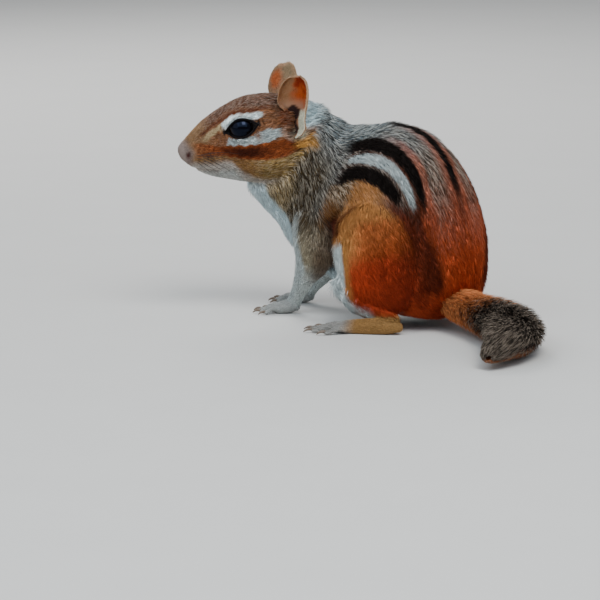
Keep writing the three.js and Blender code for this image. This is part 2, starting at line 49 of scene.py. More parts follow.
# %% [markdown]
# ## Small helpers
#
# A smooth animal is a short table of sizes and a rule that runs smoothly through them. `through` is that
# rule: it passes a curve through equally spaced rows of numbers, whatever they mean, so one table can
# hold a back line, a belly line and a width at once. `ramp` is the soft switch used by every marking,
# and `span`, `band` and `blob` are built from it or like it: between four places, about a middle, and
# about a point.

# %% Curves, switches and axes
FOOTPRINT_CENTRE = np.array([3.1, 6.4, 0.0])  # of the whole animal, in the hips' frame, mm
NUMBERS = np.random.default_rng(12)


def through(rows, t):
    """Smooth rows at t from 0 to 1. Between two rows the value is the Catmull-Rom cubic of the four
    rows round it, and past the ends the rows go on in a straight line."""
    rows = np.asarray(rows, float)
    last = len(rows) - 1
    place = np.clip(np.asarray(t, float), 0, 1) * last
    i = np.minimum(place.astype(int), last - 1)
    f = (place - i).reshape(place.shape + (1,) * (rows.ndim - 1))
    ends = np.concatenate([[2 * rows[0] - rows[1]], rows, [2 * rows[-1] - rows[-2]]])
    a, b, c, d = ends[i], ends[i + 1], ends[i + 2], ends[i + 3]
    return b + 0.5 * f * (c - a + f * (2 * a - 5 * b + 4 * c - d + f * (3 * (b - c) + d - a)))


def ramp(x, low, high):
    """0 where x is at low, 1 where it is at high, with the smooth step 3s^2 - 2s^3 between them."""
    s = np.clip((np.asarray(x, float) - low) / (high - low), 0, 1)
    return s * s * (3 - 2 * s)


def span(x, start, full, fade, end):
    """Rises from 0 at start to 1 at full, stays there, and falls from fade to 0 again at end."""
    return ramp(x, start, full) * ramp(x, end, fade)


def mix(colour, other, mask):
    """colour * (1 - mask) + other * mask."""
    mask = np.clip(np.asarray(mask, float), 0, 1)[..., None]
    return colour * (1 - mask) + other * mask


def band(x, middle, half, soft):
    """1 within half of the middle, falling to 0 over the soft edge."""
    return ramp(np.abs(x - middle), half + soft, half - soft)


def crest(x, middle, wide):
    """A Gaussian ridge: exp(-((x - middle) / wide)^2)."""
    return np.exp(-(((x - middle) / wide) ** 2))


def blob(x, middle_x, wide, y, middle_y, high):
    """A Gaussian spot: exp(-((x - middle x) / wide)^2 - ((y - middle y) / high)^2)."""
    return np.exp(-(((x - middle_x) / wide) ** 2) - ((y - middle_y) / high) ** 2)


def unit(v):
    """Each vector divided by its length."""
    return v / np.maximum(np.linalg.norm(v, axis=-1, keepdims=True), 1e-9)


def turn_about(axis, degrees):
    """The matrix that turns points round the x or the z axis."""
    c, s = math.cos(math.radians(degrees)), math.sin(math.radians(degrees))
    if axis == "x":
        return np.array([[1, 0, 0], [0, c, -s], [0, s, c]])
    return np.array([[c, -s, 0], [s, c, 0], [0, 0, 1]])


def heading(degrees):
    """A level step that starts at -Y and turns towards +X, and the level direction to its left."""
    a = math.radians(degrees)
    return np.array([math.sin(a), -math.cos(a), 0]), np.array([math.cos(a), math.sin(a), 0])


def to_metres(points):
    """Hips' frame in mm to the row's frame in metres: (p - centre) / 1000."""
    return (np.asarray(points, float) - FOOTPRINT_CENTRE) / 1000


FULL_TURN = 6.28  # radians, near enough for a random field


def wobble(points, scale, seed):
    """A soft random field from -1 to 1: four sine waves of different directions, multiplied in pairs."""
    draw = np.random.default_rng(seed)
    waves = draw.normal(size=(4, 3))
    shift = draw.uniform(0, FULL_TURN, 4)
    s = np.sin(points @ unit(waves).T * (FULL_TURN / scale) + shift)
    return (s[..., 0] * s[..., 1] + s[..., 2] * s[..., 3]) * 0.8


print("halfway up a ramp:", float(ramp(0.5, 0, 1)), "wobble at the hips:", wobble(np.zeros((1, 3)), 5, 1))

# %% Meshes from arrays
def loft(rings, poles):
    """Quads between neighbouring rings (rings are stations x around x 3) and a fan to each pole."""
    stations, around, _ = rings.shape
    grid = np.arange(stations * around).reshape(stations, around)
    beside = np.roll(grid, -1, axis=1)
    quads = np.stack([grid[:-1], beside[:-1], beside[1:], grid[1:]], -1).reshape(-1, 4)
    first = np.full(around, grid.size)
    fans = np.concatenate(
        [
            np.stack([first, beside[0], grid[0]], -1),
            np.stack([first + 1, grid[-1], beside[-1]], -1),
        ]
    )
    points = np.concatenate([rings.reshape(-1, 3), np.asarray(poles, float)])
    return outward(points, [quads, fans])


def outward(points, faces):
    """Turns every face round if the closed shape's volume, summed over its faces, comes out negative."""
    volume = 0.0
    for group in faces:
        a = points[group[:, 0]]
        for k in range(1, group.shape[1] - 1):
            volume += np.sum(a * np.cross(points[group[:, k]], points[group[:, k + 1]]))
    return points, faces if volume > 0 else [group[:, ::-1] for group in faces]


def joined(shapes):
    """Several (points, faces) as one, each with its vertex numbers moved past those before it."""
    points, faces, start = [], [], 0
    for more, groups in shapes:
        points.append(more)
        faces += [group + start for group in groups]
        start += len(more)
    return np.concatenate(points), faces


def mesh_object(name, points, faces):
    """An object whose mesh holds these points, in mm of the hips' frame, and these faces."""
    mesh = bpy.data.meshes.new(name)
    corners = np.concatenate([group.ravel() for group in faces])
    sides = np.concatenate([np.full(len(group), group.shape[1]) for group in faces])
    mesh.vertices.add(len(points))
    mesh.vertices.foreach_set("co", to_metres(points).astype(np.float32).ravel())
    mesh.loops.add(len(corners))
    mesh.loops.foreach_set("vertex_index", corners.astype(np.int32))
    mesh.polygons.add(len(sides))
    mesh.polygons.foreach_set("loop_start", np.concatenate([[0], np.cumsum(sides)[:-1]]).astype(np.int32))
    mesh.polygons.foreach_set("use_smooth", np.full(len(sides), True))
    mesh.update(calc_edges=True)
    made = bpy.data.objects.new(name, mesh)
    bpy.context.scene.collection.objects.link(made)
    return made


def paint(piece, name, colours):
    """Stores one colour per vertex, red, green and blue as light adds up, under this attribute name."""
    layer = piece.data.attributes.new(name, "FLOAT_COLOR", "POINT")
    full = np.concatenate([colours, np.ones((len(colours), 1))], 1)
    layer.data.foreach_set("color", full.astype(np.float32).ravel())


def triangles(piece):
    """How many triangles a piece has, counting a quad as two."""
    piece.data.calc_loop_triangles()
    return len(piece.data.loop_triangles)


# %% [markdown]
# ## The trunk
#
# From the tail root to the neck the body is a stack of egg-shaped sections. Each row of the table gives
# the point on the back, the point under the belly, the half width, how far the section is turned to the
# animal's left, and how much wider it is low down. The skin is the same stack drawn in by the depth of
# the coat, so that the tips of the fur come back out to the outline of the solids.

# %% Trunk sections
# x, y, z on the back; x, y, z under the belly; half width; degrees turned; how much wider low down
TRUNK = [
    [0, 22.5, 10, 0, 17, 5.5, 5, 0, 0],
    [0, 25.8, 18, 0, 13, 3.6, 13.2, 0, 0.05],
    [0, 26.4, 28, 0, 6, 3, 18.4, 0, 0.1],
    [0, 25, 39, 0.3, -2, 3, 21.8, 0, 0.12],
    [0, 21.6, 49.5, 0.7, -9, 3.5, 23.3, 2, 0.14],
    [0, 15.5, 58.5, 1.2, -16, 5, 23.6, 5, 0.14],
    [0, 6, 64.8, 2, -22.5, 8, 22.2, 10, 0.12],
    [0.5, -5, 66.6, 3.2, -29, 11.5, 20.2, 16, 0.1],
    [1.5, -15, 65, 5, -35, 16, 18.2, 23, 0.08],
    [3, -23.5, 64.6, 9, -43, 21, 16.4, 31, 0.05],
    [5.2, -29.5, 67.6, 13, -47.6, 29, 14.4, 39, 0],
    [7.4, -33.8, 70.6, 18.2, -51.8, 36.4, 12.8, 46, 0],
    [11.5, -38.6, 70.4, 22.3, -53.6, 42.2, 11.8, 50, 0],
    [18, -45, 64, 25.4, -53.6, 49, 8.4, 50, 0],
]
TRUNK_DEPTH = [1.2, 2.2, 2.7, 2.8, 2.7, 2.6, 2.5, 2.4, 2.3, 2.1, 1.9, 1.8, 2.3, 3.2]  # of the coat, mm
FLANK_FOLD = 2.4  # mm that the flank is drawn in further, along the front edge of the haunch


def trunk_axes(t):
    """Middle, vector up to the back, level unit vector to the side, half width and low share at t."""
    row = through(TRUNK, t)
    back, belly, turned = row[..., :3], row[..., 3:6], np.radians(row[..., 7])
    side = np.stack([np.cos(turned), np.sin(turned), 0 * turned], -1)
    return (back + belly) / 2, (back - belly) / 2, side, row[..., 6], row[..., 8]


def trunk_at(t, phi, depth=0.0):
    """Point on a section: middle + side * half * (1 - low sin phi) cos phi + rise * sin phi, with the
    half width and the rise both shortened by the depth."""
    middle, rise, side, half, low = trunk_axes(t)
    length = np.linalg.norm(rise, axis=-1)
    wide = (half - depth) * (1 - low * np.sin(phi))
    up = rise * ((length - depth) / length)[..., None]
    return middle + side * (wide * np.cos(phi))[..., None] + up * np.sin(phi)[..., None]


def trunk_shape(stations=90, around=72):
    """Rings of the drawn-in trunk, its two poles, and at each ring point the way the hair lies:
    towards the tail root, drifting down on the flanks."""
    t, phi = np.meshgrid(
        np.linspace(0, 1, stations), np.linspace(0, 2 * np.pi, around, endpoint=False), indexing="ij"
    )
    depth = through(TRUNK_DEPTH, t)
    egg = haunch_places(trunk_at(t, phi).reshape(-1, 3)).reshape(t.shape + (3,))
    edge = band(np.linalg.norm(egg, axis=-1), 1.12, 0.14, 0.14) * ramp(egg[..., 1], -0.2, -0.45)
    crease = edge * span(egg[..., 2], -0.9, -0.6, 0.7, 0.95)
    rings = trunk_at(t, phi, depth + FLANK_FOLD * crease)
    poles = [rings[0].mean(0) + [0, 0.6, -0.4], rings[-1].mean(0)]
    lie = unit(-np.gradient(rings, axis=0))
    lie[..., 2] -= 0.45 * np.abs(np.cos(phi)) * ramp(t, 0.1, 0.4)
    return rings, poles, unit(lie)


trunk_steps = np.diff(trunk_axes(np.linspace(0, 1, 50))[0], axis=0)
print("trunk length in mm", round(float(np.linalg.norm(trunk_steps, axis=1).sum()), 1))

# %% [markdown]
# ## The head
#
# The head has its own axes, because it is turned to the animal's left and dips a little. Its sections
# are rounded boxes. A few low swellings (cheek, whisker pad, brow round the eye, chin) and a dent in
# front of the eye are added as smooth bumps of the section's size, so that no join line can show on the
# face.

# %% Head sections
NOSE_TIP = np.array([43.6, -65.3, 55.8])
HEAD_YAW, HEAD_PITCH = math.radians(50), math.radians(-13.5)
FORWARD = np.array(
    [
        math.sin(HEAD_YAW) * math.cos(HEAD_PITCH),
        -math.cos(HEAD_YAW) * math.cos(HEAD_PITCH),
        math.sin(HEAD_PITCH),
    ]
)
LEFT = np.array([math.cos(HEAD_YAW), math.sin(HEAD_YAW), 0])
UP = np.cross(FORWARD, LEFT)
SIDES = {"left": 1, "right": -1}
# behind the nose, top, bottom, half width, all in mm; how much wider low down
HEAD = [
    [0.35, 0.8, -2.9, 1.9, 0],
    [1.4, 1.8, -4.5, 3, 0],
    [3.2, 3, -6.3, 4, 0.05],
    [6.2, 5.1, -8.9, 5.2, 0.08],
    [10.3, 7.6, -11.4, 6.6, 0.1],
    [14.8, 9.6, -13.8, 8, 0.1],
    [19.5, 11.1, -15.8, 9.3, 0.1],
    [24.5, 12.3, -17.2, 10.4, 0.1],
    [29.5, 12.2, -17.2, 11.1, 0.08],
    [34.5, 11.2, -16.4, 11.4, 0.04],
    [39.5, 9.2, -15, 10.8, 0],
    [44.5, 6.2, -12, 9, 0],
    [48.2, 2.4, -7.5, 5, 0],
]
HEAD_DEPTH = [0.05, 0.1, 0.2, 0.3, 0.4, 0.5, 0.6, 0.7, 0.85, 1.0, 1.2, 1.4, 1.5]
FULLNESS = 0.86  # below 1 squares the sections a little
# behind the nose, degrees above the side, reach along in mm and round in degrees, height
SWELLINGS = [
    [27, -30, 9, 36, 1.5],
    [7.4, -26, 3.6, 34, 1.1],
    [21.3, 17, 6.4, 27, 1.7],
    [13.6, 4, 3.4, 30, -0.5],
    [9, -90, 4.2, 26, 0.6],
]


def on_head(behind, left, up):
    """NOSE_TIP - FORWARD * behind + LEFT * left + UP * up."""
    behind, left, up = (np.asarray(v, float)[..., None] for v in (behind, left, up))
    return NOSE_TIP - FORWARD * behind + LEFT * left + UP * up


def head_places(points):
    """How far behind the nose tip, out to the left and above the head's axis each point lies."""
    away = points - NOSE_TIP
    return -away @ FORWARD, away @ LEFT, away @ UP


def head_at(s, phi, depth=0.0):
    """Point on a head section: the half width times cos phi and the half height times sin phi, both
    raised to the power FULLNESS, after the swellings' Gaussian bumps are added to both sizes."""
    row = through(HEAD, s)
    behind, top, bottom, half, low = (row[..., k] for k in range(5))
    above = np.degrees(np.arctan2(np.sin(phi), np.abs(np.cos(phi))))
    grow = -np.asarray(depth, float)
    for b, at, along, round_, height in SWELLINGS:
        grow = grow + height * blob(behind, b, along, above, at, round_)
    wide = half * (1 - low * np.sin(phi)) + grow
    high = (top - bottom) / 2 + grow
    across = wide * np.sign(np.cos(phi)) * np.abs(np.cos(phi)) ** FULLNESS
    up = (top + bottom) / 2 + high * np.sign(np.sin(phi)) * np.abs(np.sin(phi)) ** FULLNESS
    return on_head(behind, across, up)


def head_shape(stations=90, around=72):
    """Rings and poles of the drawn-in head, and the lie of its hair: straight back over the surface."""
    s, phi = np.meshgrid(
        np.linspace(0, 1, stations), (np.arange(around) + 0.5) * 2 * np.pi / around, indexing="ij"
    )
    rings = head_at(s, phi, through(HEAD_DEPTH, s))
    poles = [on_head(-0.05, 0, -1), on_head(49, 0, -2.5)]
    return rings, poles, unit(np.gradient(rings, axis=0))


print("the head's end sections lie", round(HEAD[-1][0] - HEAD[0][0], 1), "mm apart")

# %% [markdown]
# ## Legs, feet and the core of the tail
#
# A haunch is an egg that the sitting animal presses against its flank. A foreleg, a palm, a toe and the
# fleshy core of the tail are all the same idea, an oval carried along a smooth path, so one function
# makes them: at each station it needs the place, the half height and the half width.

# %% Ovals carried along a path
def limb(rows, stations=14, around=20, yaw=0.0, depth=0.0):
    """Rings of ovals along the path through the rows' places, squared to it. A row holds x, y, z, half
    height and half width. The poles stand 0.45 of the end section beyond each end."""
    t = np.linspace(0, 1, stations)
    row = through(rows, t)
    path, size = row[:, :3], np.maximum(row[:, 3:5] - depth, 0.02)
    along = unit(np.gradient(path, axis=0))
    level = np.array([math.cos(math.radians(yaw)), math.sin(math.radians(yaw)), 0])
    across = unit(level - along * (along @ level)[:, None])
    up = np.cross(across, along)
    turn = np.linspace(0, 2 * np.pi, around, endpoint=False)
    rings = (
        path[:, None]
        + across[:, None] * (size[:, 1:2] * np.cos(turn))[..., None]
        + up[:, None] * (size[:, 0:1] * np.sin(turn))[..., None]
    )
    ends = size.min(1) * 0.45
    poles = [path[0] - along[0] * ends[0], path[-1] + along[-1] * ends[-1]]
    lie = np.broadcast_to(along[:, None], rings.shape)
    return rings, poles, lie


HAUNCH = {"out": 17, "back": {"left": 0.6, "right": -2}, "up": 24.5, "halves": np.array([10, 18.5, 21.5])}
HAUNCH_LEAN, HAUNCH_TURN = 12, -8  # degrees back, and about the vertical, below 0 inwards
HAUNCH_DEPTH = 2.0


def haunch_axes(name):
    """Centre of the haunch and the matrix that leans it back and turns it inwards."""
    side = SIDES[name]
    centre = np.array([side * HAUNCH["out"], HAUNCH["back"][name], HAUNCH["up"]])
    return centre, turn_about("z", side * HAUNCH_TURN) @ turn_about("x", HAUNCH_LEAN)


def haunch_places(points):
    """Each point in the unit egg of the haunch on its own side: outwards, back and up."""
    made = np.zeros_like(points)
    for name, side in SIDES.items():
        centre, matrix = haunch_axes(name)
        mine = points[:, 0] * side > 0
        local = (points[mine] - centre) @ matrix / HAUNCH["halves"]
        local[:, 0] *= side
        made[mine] = local
    return made


def haunch_shape(name, stations=40, around=56):
    """An egg: centre + matrix * (halves - depth) * the unit sphere. The hair lies down and back."""
    centre, matrix = haunch_axes(name)
    theta, turn = np.meshgrid(
        np.linspace(0.04, np.pi - 0.04, stations),
        np.linspace(0, 2 * np.pi, around, endpoint=False),
        indexing="ij",
    )
    ball = np.stack([np.sin(theta) * np.cos(turn), np.sin(theta) * np.sin(turn), np.cos(theta)], -1)
    halves = HAUNCH["halves"] - HAUNCH_DEPTH
    rings = centre + (ball * halves) @ matrix.T
    poles = [centre + matrix @ [0, 0, halves[2]], centre - matrix @ [0, 0, halves[2]]]
    lie = np.broadcast_to(unit(np.array([0, 0.5, -0.86])), rings.shape)
    return rings, poles, lie


def shank_shape(name):
    """The folded lower leg: from the knee, in front of the egg, down and back to the heel."""
    side = SIDES[name]
    rows = [
        [side * 17.2, -11.6, 15.4, 6.2, 5.8],
        [side * 18.4, -4.6, 10.6, 6.5, 5.6],
        [side * 19.6, 5, 7.4, 5.2, 4.8],
        [side * 20.0, 11.0, 5.1, 2.7, 2.8],
        [side * 20.1, 13.2, 3.7, 1.6, 1.8],
    ]
    return limb(rows, depth=1.0)


# shoulder, elbow and wrist
FORELEGS = {
    "left": ([14.5, -27, 40], [18, -26.6, 20.5], [14.4, -38.6, 4.6]),
    "right": ([-8.5, -34.5, 40], [-12.4, -36.5, 20.5], [-2.8, -48.6, 4.6]),
}
FORELEG_YAW = 24


def foreleg_shape(name):
    """From a broad shoulder over the elbow to the wrist."""
    shoulder, elbow, wrist = (np.array(p, float) for p in FORELEGS[name])
    rows = [
        [*shoulder, 8, 4.5],
        [*(shoulder + elbow) / 2, 8.6, 6.2],
        [*elbow, 6.7, 5.2],
        [*(elbow + (wrist - elbow) * 0.45), 4.1, 3.6],
        [*(elbow + (wrist - elbow) * 0.8), 2.8, 2.8],
        [*wrist, 2.7, 2.7],
    ]
    depth = through([[1.6], [1.6], [1.3], [0.8], [0.45], [0.3]], np.linspace(0, 1, 26))
    return limb(rows, 26, 32, FORELEG_YAW, depth)


# %% Toes and claws
# where the paw starts, the degrees it points away from -Y, its side and its kind
PAWS = {
    "left_forepaw": (FORELEGS["left"][2], 38, 1, "fore"),
    "right_forepaw": (FORELEGS["right"][2], 22, -1, "fore"),
    "left_hind_foot": ([20, 14.5, 0], 29, 1, "hind"),
    "right_hind_foot": ([-20, 14.5, 0], -29, -1, "hind"),
}
FORE_FAN = [(-32, 4.8), (-11, 6.2), (11, 6.0), (32, 4.6)]  # degrees spread and length of each toe
HIND_FAN = [(-34, 6, 4.6), (-15, 9, 0.6), (0, 10, 0), (14, 9.6, 0.4), (30, 7.4, 2.6)]  # and set back
FOOT_TO_TOES = 21
KNUCKLE_HEIGHT, KNUCKLE_STEP = 1.7, 1.85  # over the floor, and from one toe to the next, in mm


def toe_list(name):
    """Root, heading, length, thickness and claw length of each toe of a paw."""
    (x, y, _), turned, side, kind = PAWS[name]
    step, across = heading(turned)
    start = np.array([x, y, KNUCKLE_HEIGHT])
    if kind == "fore":
        return [
            (start + step * 6.2 + across * (k - 1.5) * KNUCKLE_STEP, turned + spread, length, 0.98, 2.1)
            for k, (spread, length) in enumerate(FORE_FAN)
        ]
    return [
        (
            start + step * (FOOT_TO_TOES - 1 - set_back) + across * side * (k - 2) * KNUCKLE_STEP,
            turned + side * spread,
            length,
            1.08,
            2.6,
        )
        for k, (spread, length, set_back) in enumerate(HIND_FAN)
    ]


def toe_shape(root, turned, length, thick, _):
    """A toe arches up from its knuckle and comes down on a rounded pad. Its claw is made elsewhere."""
    step, _ = heading(turned)
    at = lambda f, up: [*(root + step * length * f)[:2], up]
    rows = [
        [*at(-0.1, root[2]), thick, thick],
        [*at(0.35, root[2] + 0.35 * thick), thick, thick * 0.92],
        [*at(0.72, thick * 0.95), thick * 0.86, thick * 0.9],
        [*at(0.9, thick * 0.86), thick * 0.84, thick * 0.98],
        [*at(1, thick * 0.8), thick * 0.6, thick * 0.75],
    ]
    return limb(rows, 18, 14, turned, 0.1)


def claw_shape(root, turned, length, thick, claw):
    """A claw leaves the top of the toe, hooks over and ends in a point just above the floor."""
    step, _ = heading(turned)
    at = lambda f, up: [*(root + step * (length + f * claw))[:2], up]
    rows = [
        [*at(-0.3, thick * 1.0), 0.5, 0.4],
        [*at(0.15, thick * 1.2), 0.48, 0.36],
        [*at(0.6, thick * 1.0), 0.34, 0.24],
        [*at(1.0, thick * 0.42), 0.14, 0.1],
    ]
    return limb(rows, 12, 10, turned)


def palm_shape(name):
    """The palm of a forepaw or the long sole of a hind foot, flat underneath."""
    (x, y, _), turned, _, kind = PAWS[name]
    step, _ = heading(turned)
    at = lambda on, up: [*(np.array([x, y, 0.0]) + step * on)[:2], up]
    if kind == "fore":
        rows = [
            [*at(-0.6, 3.4), 2.6, 2.5],
            [*at(2.2, 2.3), 2.6, 3.1],
            [*at(5.4, 1.6), 2.2, 3.5],
            [*at(7, 1.5), 1.7, 3],
        ]
    else:
        rows = [
            [*at(-1.2, 2.3), 0.4, 0.4],
            [*at(-0.7, 2.3), 1.2, 1.2],
            [*at(0.6, 2.4), 2.0, 2.0],
            [*at(2.8, 2.6), 2.6, 2.5],
            [*at(6, 2.5), 3, 2.9],
            [*at(12, 2.1), 2.8, 3.3],
            [*at(18, 1.8), 2.4, 3.9],
            [*at(FOOT_TO_TOES, 1.6), 1.9, 3.6],
        ]
    return limb(rows, 20, 28, turned, 0.25)


# %% The line of the tail
TAIL_LINE = [
    [0.4, 12, 11.5],
    [1.2, 23, 9.4],
    [2.6, 34.5, 7.5],
    [6.4, 46.5, 7],
    [13.2, 57.5, 7],
    [22.6, 66.5, 7],
    [33.6, 73, 6.6],
    [45.4, 77, 4.6],
]
TAIL_WIDTH, TAIL_HEIGHT, TAIL_LENGTH = 21.0, 14.5, 88.0
CORE_ENDS = 0.84  # share of the tail's line that has flesh in it
TAIL_CORE = [[5.4, 5.8], [4.6, 5.0], [3.2, 3.4], [2.6, 2.8], [2.2, 2.4], [1.8, 2], [1.2, 1.3]]
TAIL_COAT = [0.7, 0.76, 0.86, 0.98, 1.02, 1, 0.92, 0.72, 0.36]  # how full the brush is along the tail


def tail_frame(t):
    """Place on the tail's line at t, and the unit vectors along it, across the floor and up."""
    place = through(TAIL_LINE, t)
    along = unit(through(TAIL_LINE, np.minimum(t + 0.02, 1)) - through(TAIL_LINE, np.maximum(t - 0.02, 0)))
    across = unit(np.stack([-along[..., 1], along[..., 0], 0 * along[..., 0]], -1))
    return place, along, across, np.cross(along, across)


def tail_core_shape():
    """The flesh under the hair: thick where it leaves the rump, then a thin tapering rod."""
    t = np.linspace(0.02, CORE_ENDS, 40)
    place = tail_frame(t)[0]
    size = through(TAIL_CORE, t / CORE_ENDS)
    return limb(np.concatenate([place, size], 1), 60, 20)


print("toes:", sum(len(toe_list(name)) for name in PAWS))

# %% [markdown]
# ## One skin
#
# All these closed shapes overlap. A voxel remesh melts them into a single closed surface, as if they
# had been cast in one mould, and a few rounds of smoothing fill the creases where a limb meets the body
# as flesh does. Toes and the face are smoothed very little, or they would shrink away.

# %% Melt the shapes together
PARTS = ["trunk", "head", "haunch", "foreleg", "forepaw", "hind_foot", "tail"]
VOXEL = 0.56  # mm
SOLE_HEIGHT = 0.02  # mm that the soles stay over the floor
SKIN_ROUNDS, SHARE_ROUNDS, LIE_ROUNDS = 15, 14, 10  # of smoothing

sources = [("trunk", *trunk_shape()), ("head", *head_shape())]
for name in SIDES:
    sources.append(("haunch", *haunch_shape(name)))
    sources.append(("haunch", *shank_shape(name)))
    sources.append(("foreleg", *foreleg_shape(name)))
for name in PAWS:
    part = "forepaw" if name.endswith("paw") else "hind_foot"
    sources.append((part, *palm_shape(name)))
    sources += [(part, *toe_shape(*toe)) for toe in toe_list(name)]
sources.append(("tail", *tail_core_shape()))

lump = mesh_object("lump", *joined([loft(rings, poles) for _, rings, poles, _ in sources]))
melt = lump.modifiers.new("melt", "REMESH")
melt.mode = "VOXEL"
melt.voxel_size = VOXEL / 1000
melt.adaptivity = 0
melted = bpy.data.meshes.new_from_object(lump.evaluated_get(bpy.context.evaluated_depsgraph_get()))
bpy.data.objects.remove(lump)

count = len(melted.vertices)
skin_points = np.empty(count * 3)
melted.vertices.foreach_get("co", skin_points)
skin_points = skin_points.reshape(-1, 3) * 1000 + FOOTPRINT_CENTRE
corners = np.empty(len(melted.loops), np.int64)
melted.loops.foreach_get("vertex_index", corners)
skin_quads = corners.reshape(-1, 4)
edges = np.empty(len(melted.edges) * 2, np.int64)
melted.edges.foreach_get("vertices", edges)
edges = edges.reshape(-1, 2)
bpy.data.meshes.remove(melted)
print("skin:", count, "vertices,", len(skin_quads), "quads")


# %% Smoothing and neighbours, as whole arrays
def neighbour_mean(values):
    """For every vertex, the mean of the values at the other ends of its edges."""
    a, b = edges[:, 0], edges[:, 1]
    valence = np.bincount(a, minlength=count) + np.bincount(b, minlength=count)
    columns = [
        np.bincount(a, values[b, k], minlength=count) + np.bincount(b, values[a, k], minlength=count)
        for k in range(values.shape[1])
    ]
    return np.stack(columns, 1) / np.maximum(valence, 1)[:, None]


def smoothed(values, rounds, share=1.0):
    """Moves each value half way to its neighbours' mean, a number of rounds, times the vertex's share."""
    for _ in range(rounds):
        values = values + 0.5 * share * (neighbour_mean(values) - values)
    return values


def vertex_normals(points, quads):
    """Unit normals: the cross products of each quad's diagonals, summed at its corners."""
    cross = np.cross(points[quads[:, 2]] - points[quads[:, 0]], points[quads[:, 3]] - points[quads[:, 1]])
    total = np.stack(
        [sum(np.bincount(quads[:, c], cross[:, k], minlength=count) for c in range(4)) for k in range(3)], 1
    )
    return unit(total)


def nearest(points, targets):
    """Index of the nearest target to each point, from |a|^2 - 2 a.b, in blocks that fit in memory."""
    best = np.empty(len(points), np.int64)
    targets = targets.astype(np.float32)
    half_square = 0.5 * (targets**2).sum(1)
    for start in range(0, len(points), 4096):
        block = points[start : start + 4096].astype(np.float32)
        best[start : start + 4096] = np.argmin(half_square - block @ targets.T, axis=1)
    return best


# %% Which part each skin vertex came from, and which way its hair lies
source_points = np.concatenate([rings.reshape(-1, 3) for _, rings, _, _ in sources])
source_lie = np.concatenate([lie.reshape(-1, 3) for _, _, _, lie in sources])
source_part = np.concatenate(
    [np.full(rings.shape[0] * rings.shape[1], PARTS.index(part)) for part, rings, _, _ in sources]
)
hit = nearest(skin_points, source_points)
share = np.eye(len(PARTS))[source_part[hit]]
on_face = share[:, PARTS.index("head")] * ramp(head_places(skin_points)[0], 30, 20)
fine = on_face + share[:, PARTS.index("forepaw")] + share[:, PARTS.index("hind_foot")]
loose = 1 - 0.93 * np.clip(smoothed(fine[:, None], 3), 0, 1)
skin_points = smoothed(skin_points, SKIN_ROUNDS, loose)
skin_points[:, 2] = np.maximum(skin_points[:, 2], SOLE_HEIGHT)  # soles press flat on the floor
share = smoothed(share, SHARE_ROUNDS)
lie = smoothed(source_lie[hit], LIE_ROUNDS)
SHARE = {part: share[:, k] for k, part in enumerate(PARTS)}
print("share of each part:", {part: round(float(v.mean()), 3) for part, v in SHARE.items()})

# %% [markdown]
# ## Eyes and lids
#
# A chipmunk's eye is a dark wet ball that bulges from the side of the face, held by two thin dark lids
# that meet in narrow corners. The ball is a true sphere. The opening is an almond seen along the line of
# sight: half as high as `3.05 (1 - (x / 5.9)^2)^1.3` at x. Inside it the skin is sunk behind the ball
# and outside it the skin is lifted over the ball. A fine rolled rim then follows the almond's edge.

# %% The eye's own axes
EYE_RADIUS = 4.3
EYE_BEHIND, EYE_OUT, EYE_UP = 22.3, 8.05, 3.0
OPENING = (5.9, 3.05)  # half length and half height of the almond
FACE_AT_EYE, FACE_SLOPE = 2.0, -0.24  # the face's height over the eye's centre, and its slope forward


def eye_axes(side):
    """Centre of the eyeball, and the unit vectors it looks along, forward and over."""
    centre = on_head(EYE_BEHIND, side * EYE_OUT, EYE_UP)
    look = unit(FORWARD * 0.1 + LEFT * side + UP * 0.14)
    level = unit(FORWARD - look * (FORWARD @ look))
    return centre, look, level, np.cross(look, level) * side


def almond(x):
    """Half height of the opening at x: its middle height * (1 - (x / half length)^2)^1.3."""
    return OPENING[1] * np.maximum(1 - (x / OPENING[0]) ** 2, 0) ** 1.3


def eye_places(points, side):
    """Places of points in the eye's axes: forward, over and out along the look."""
    centre, look, level, over = eye_axes(side)
    away = points - centre
    return away @ level, away @ over, away @ look


def outside_eye(x, y):
    """Distance from the almond's edge, roughly, in mm: below 0 inside the opening."""
    stretch = np.hypot(x / OPENING[0], y / OPENING[1])
    inside = np.abs(y) - almond(x)
    return np.where(np.abs(x) < OPENING[0] * 0.98, inside, (stretch - 1) * 4)


# %% Shape the skin round the eyes
for side in SIDES.values():
    look = eye_axes(side)[1]
    x, y, z = eye_places(skin_points, side)
    near = (z > -1.5) & (np.hypot(x, y) < 9) & (SHARE["head"] > 0.5)
    edge = outside_eye(x, y)
    floor_of_eye = FACE_AT_EYE + FACE_SLOPE * x - 0.7
    sphere = np.sqrt(np.maximum((EYE_RADIUS + 0.32) ** 2 - x**2 - y**2, 0))
    lifted = np.maximum(z, sphere * ramp(edge, 2.6, 0.6) + z * (1 - ramp(edge, 2.6, 0.6)))
    wanted = np.where(edge < 0, np.minimum(z, floor_of_eye), lifted)
    skin_points = skin_points + look * np.where(near, wanted - z, 0)[:, None]
    print("skin vertices shaped round this eye:", int((near & (wanted != z)).sum()))
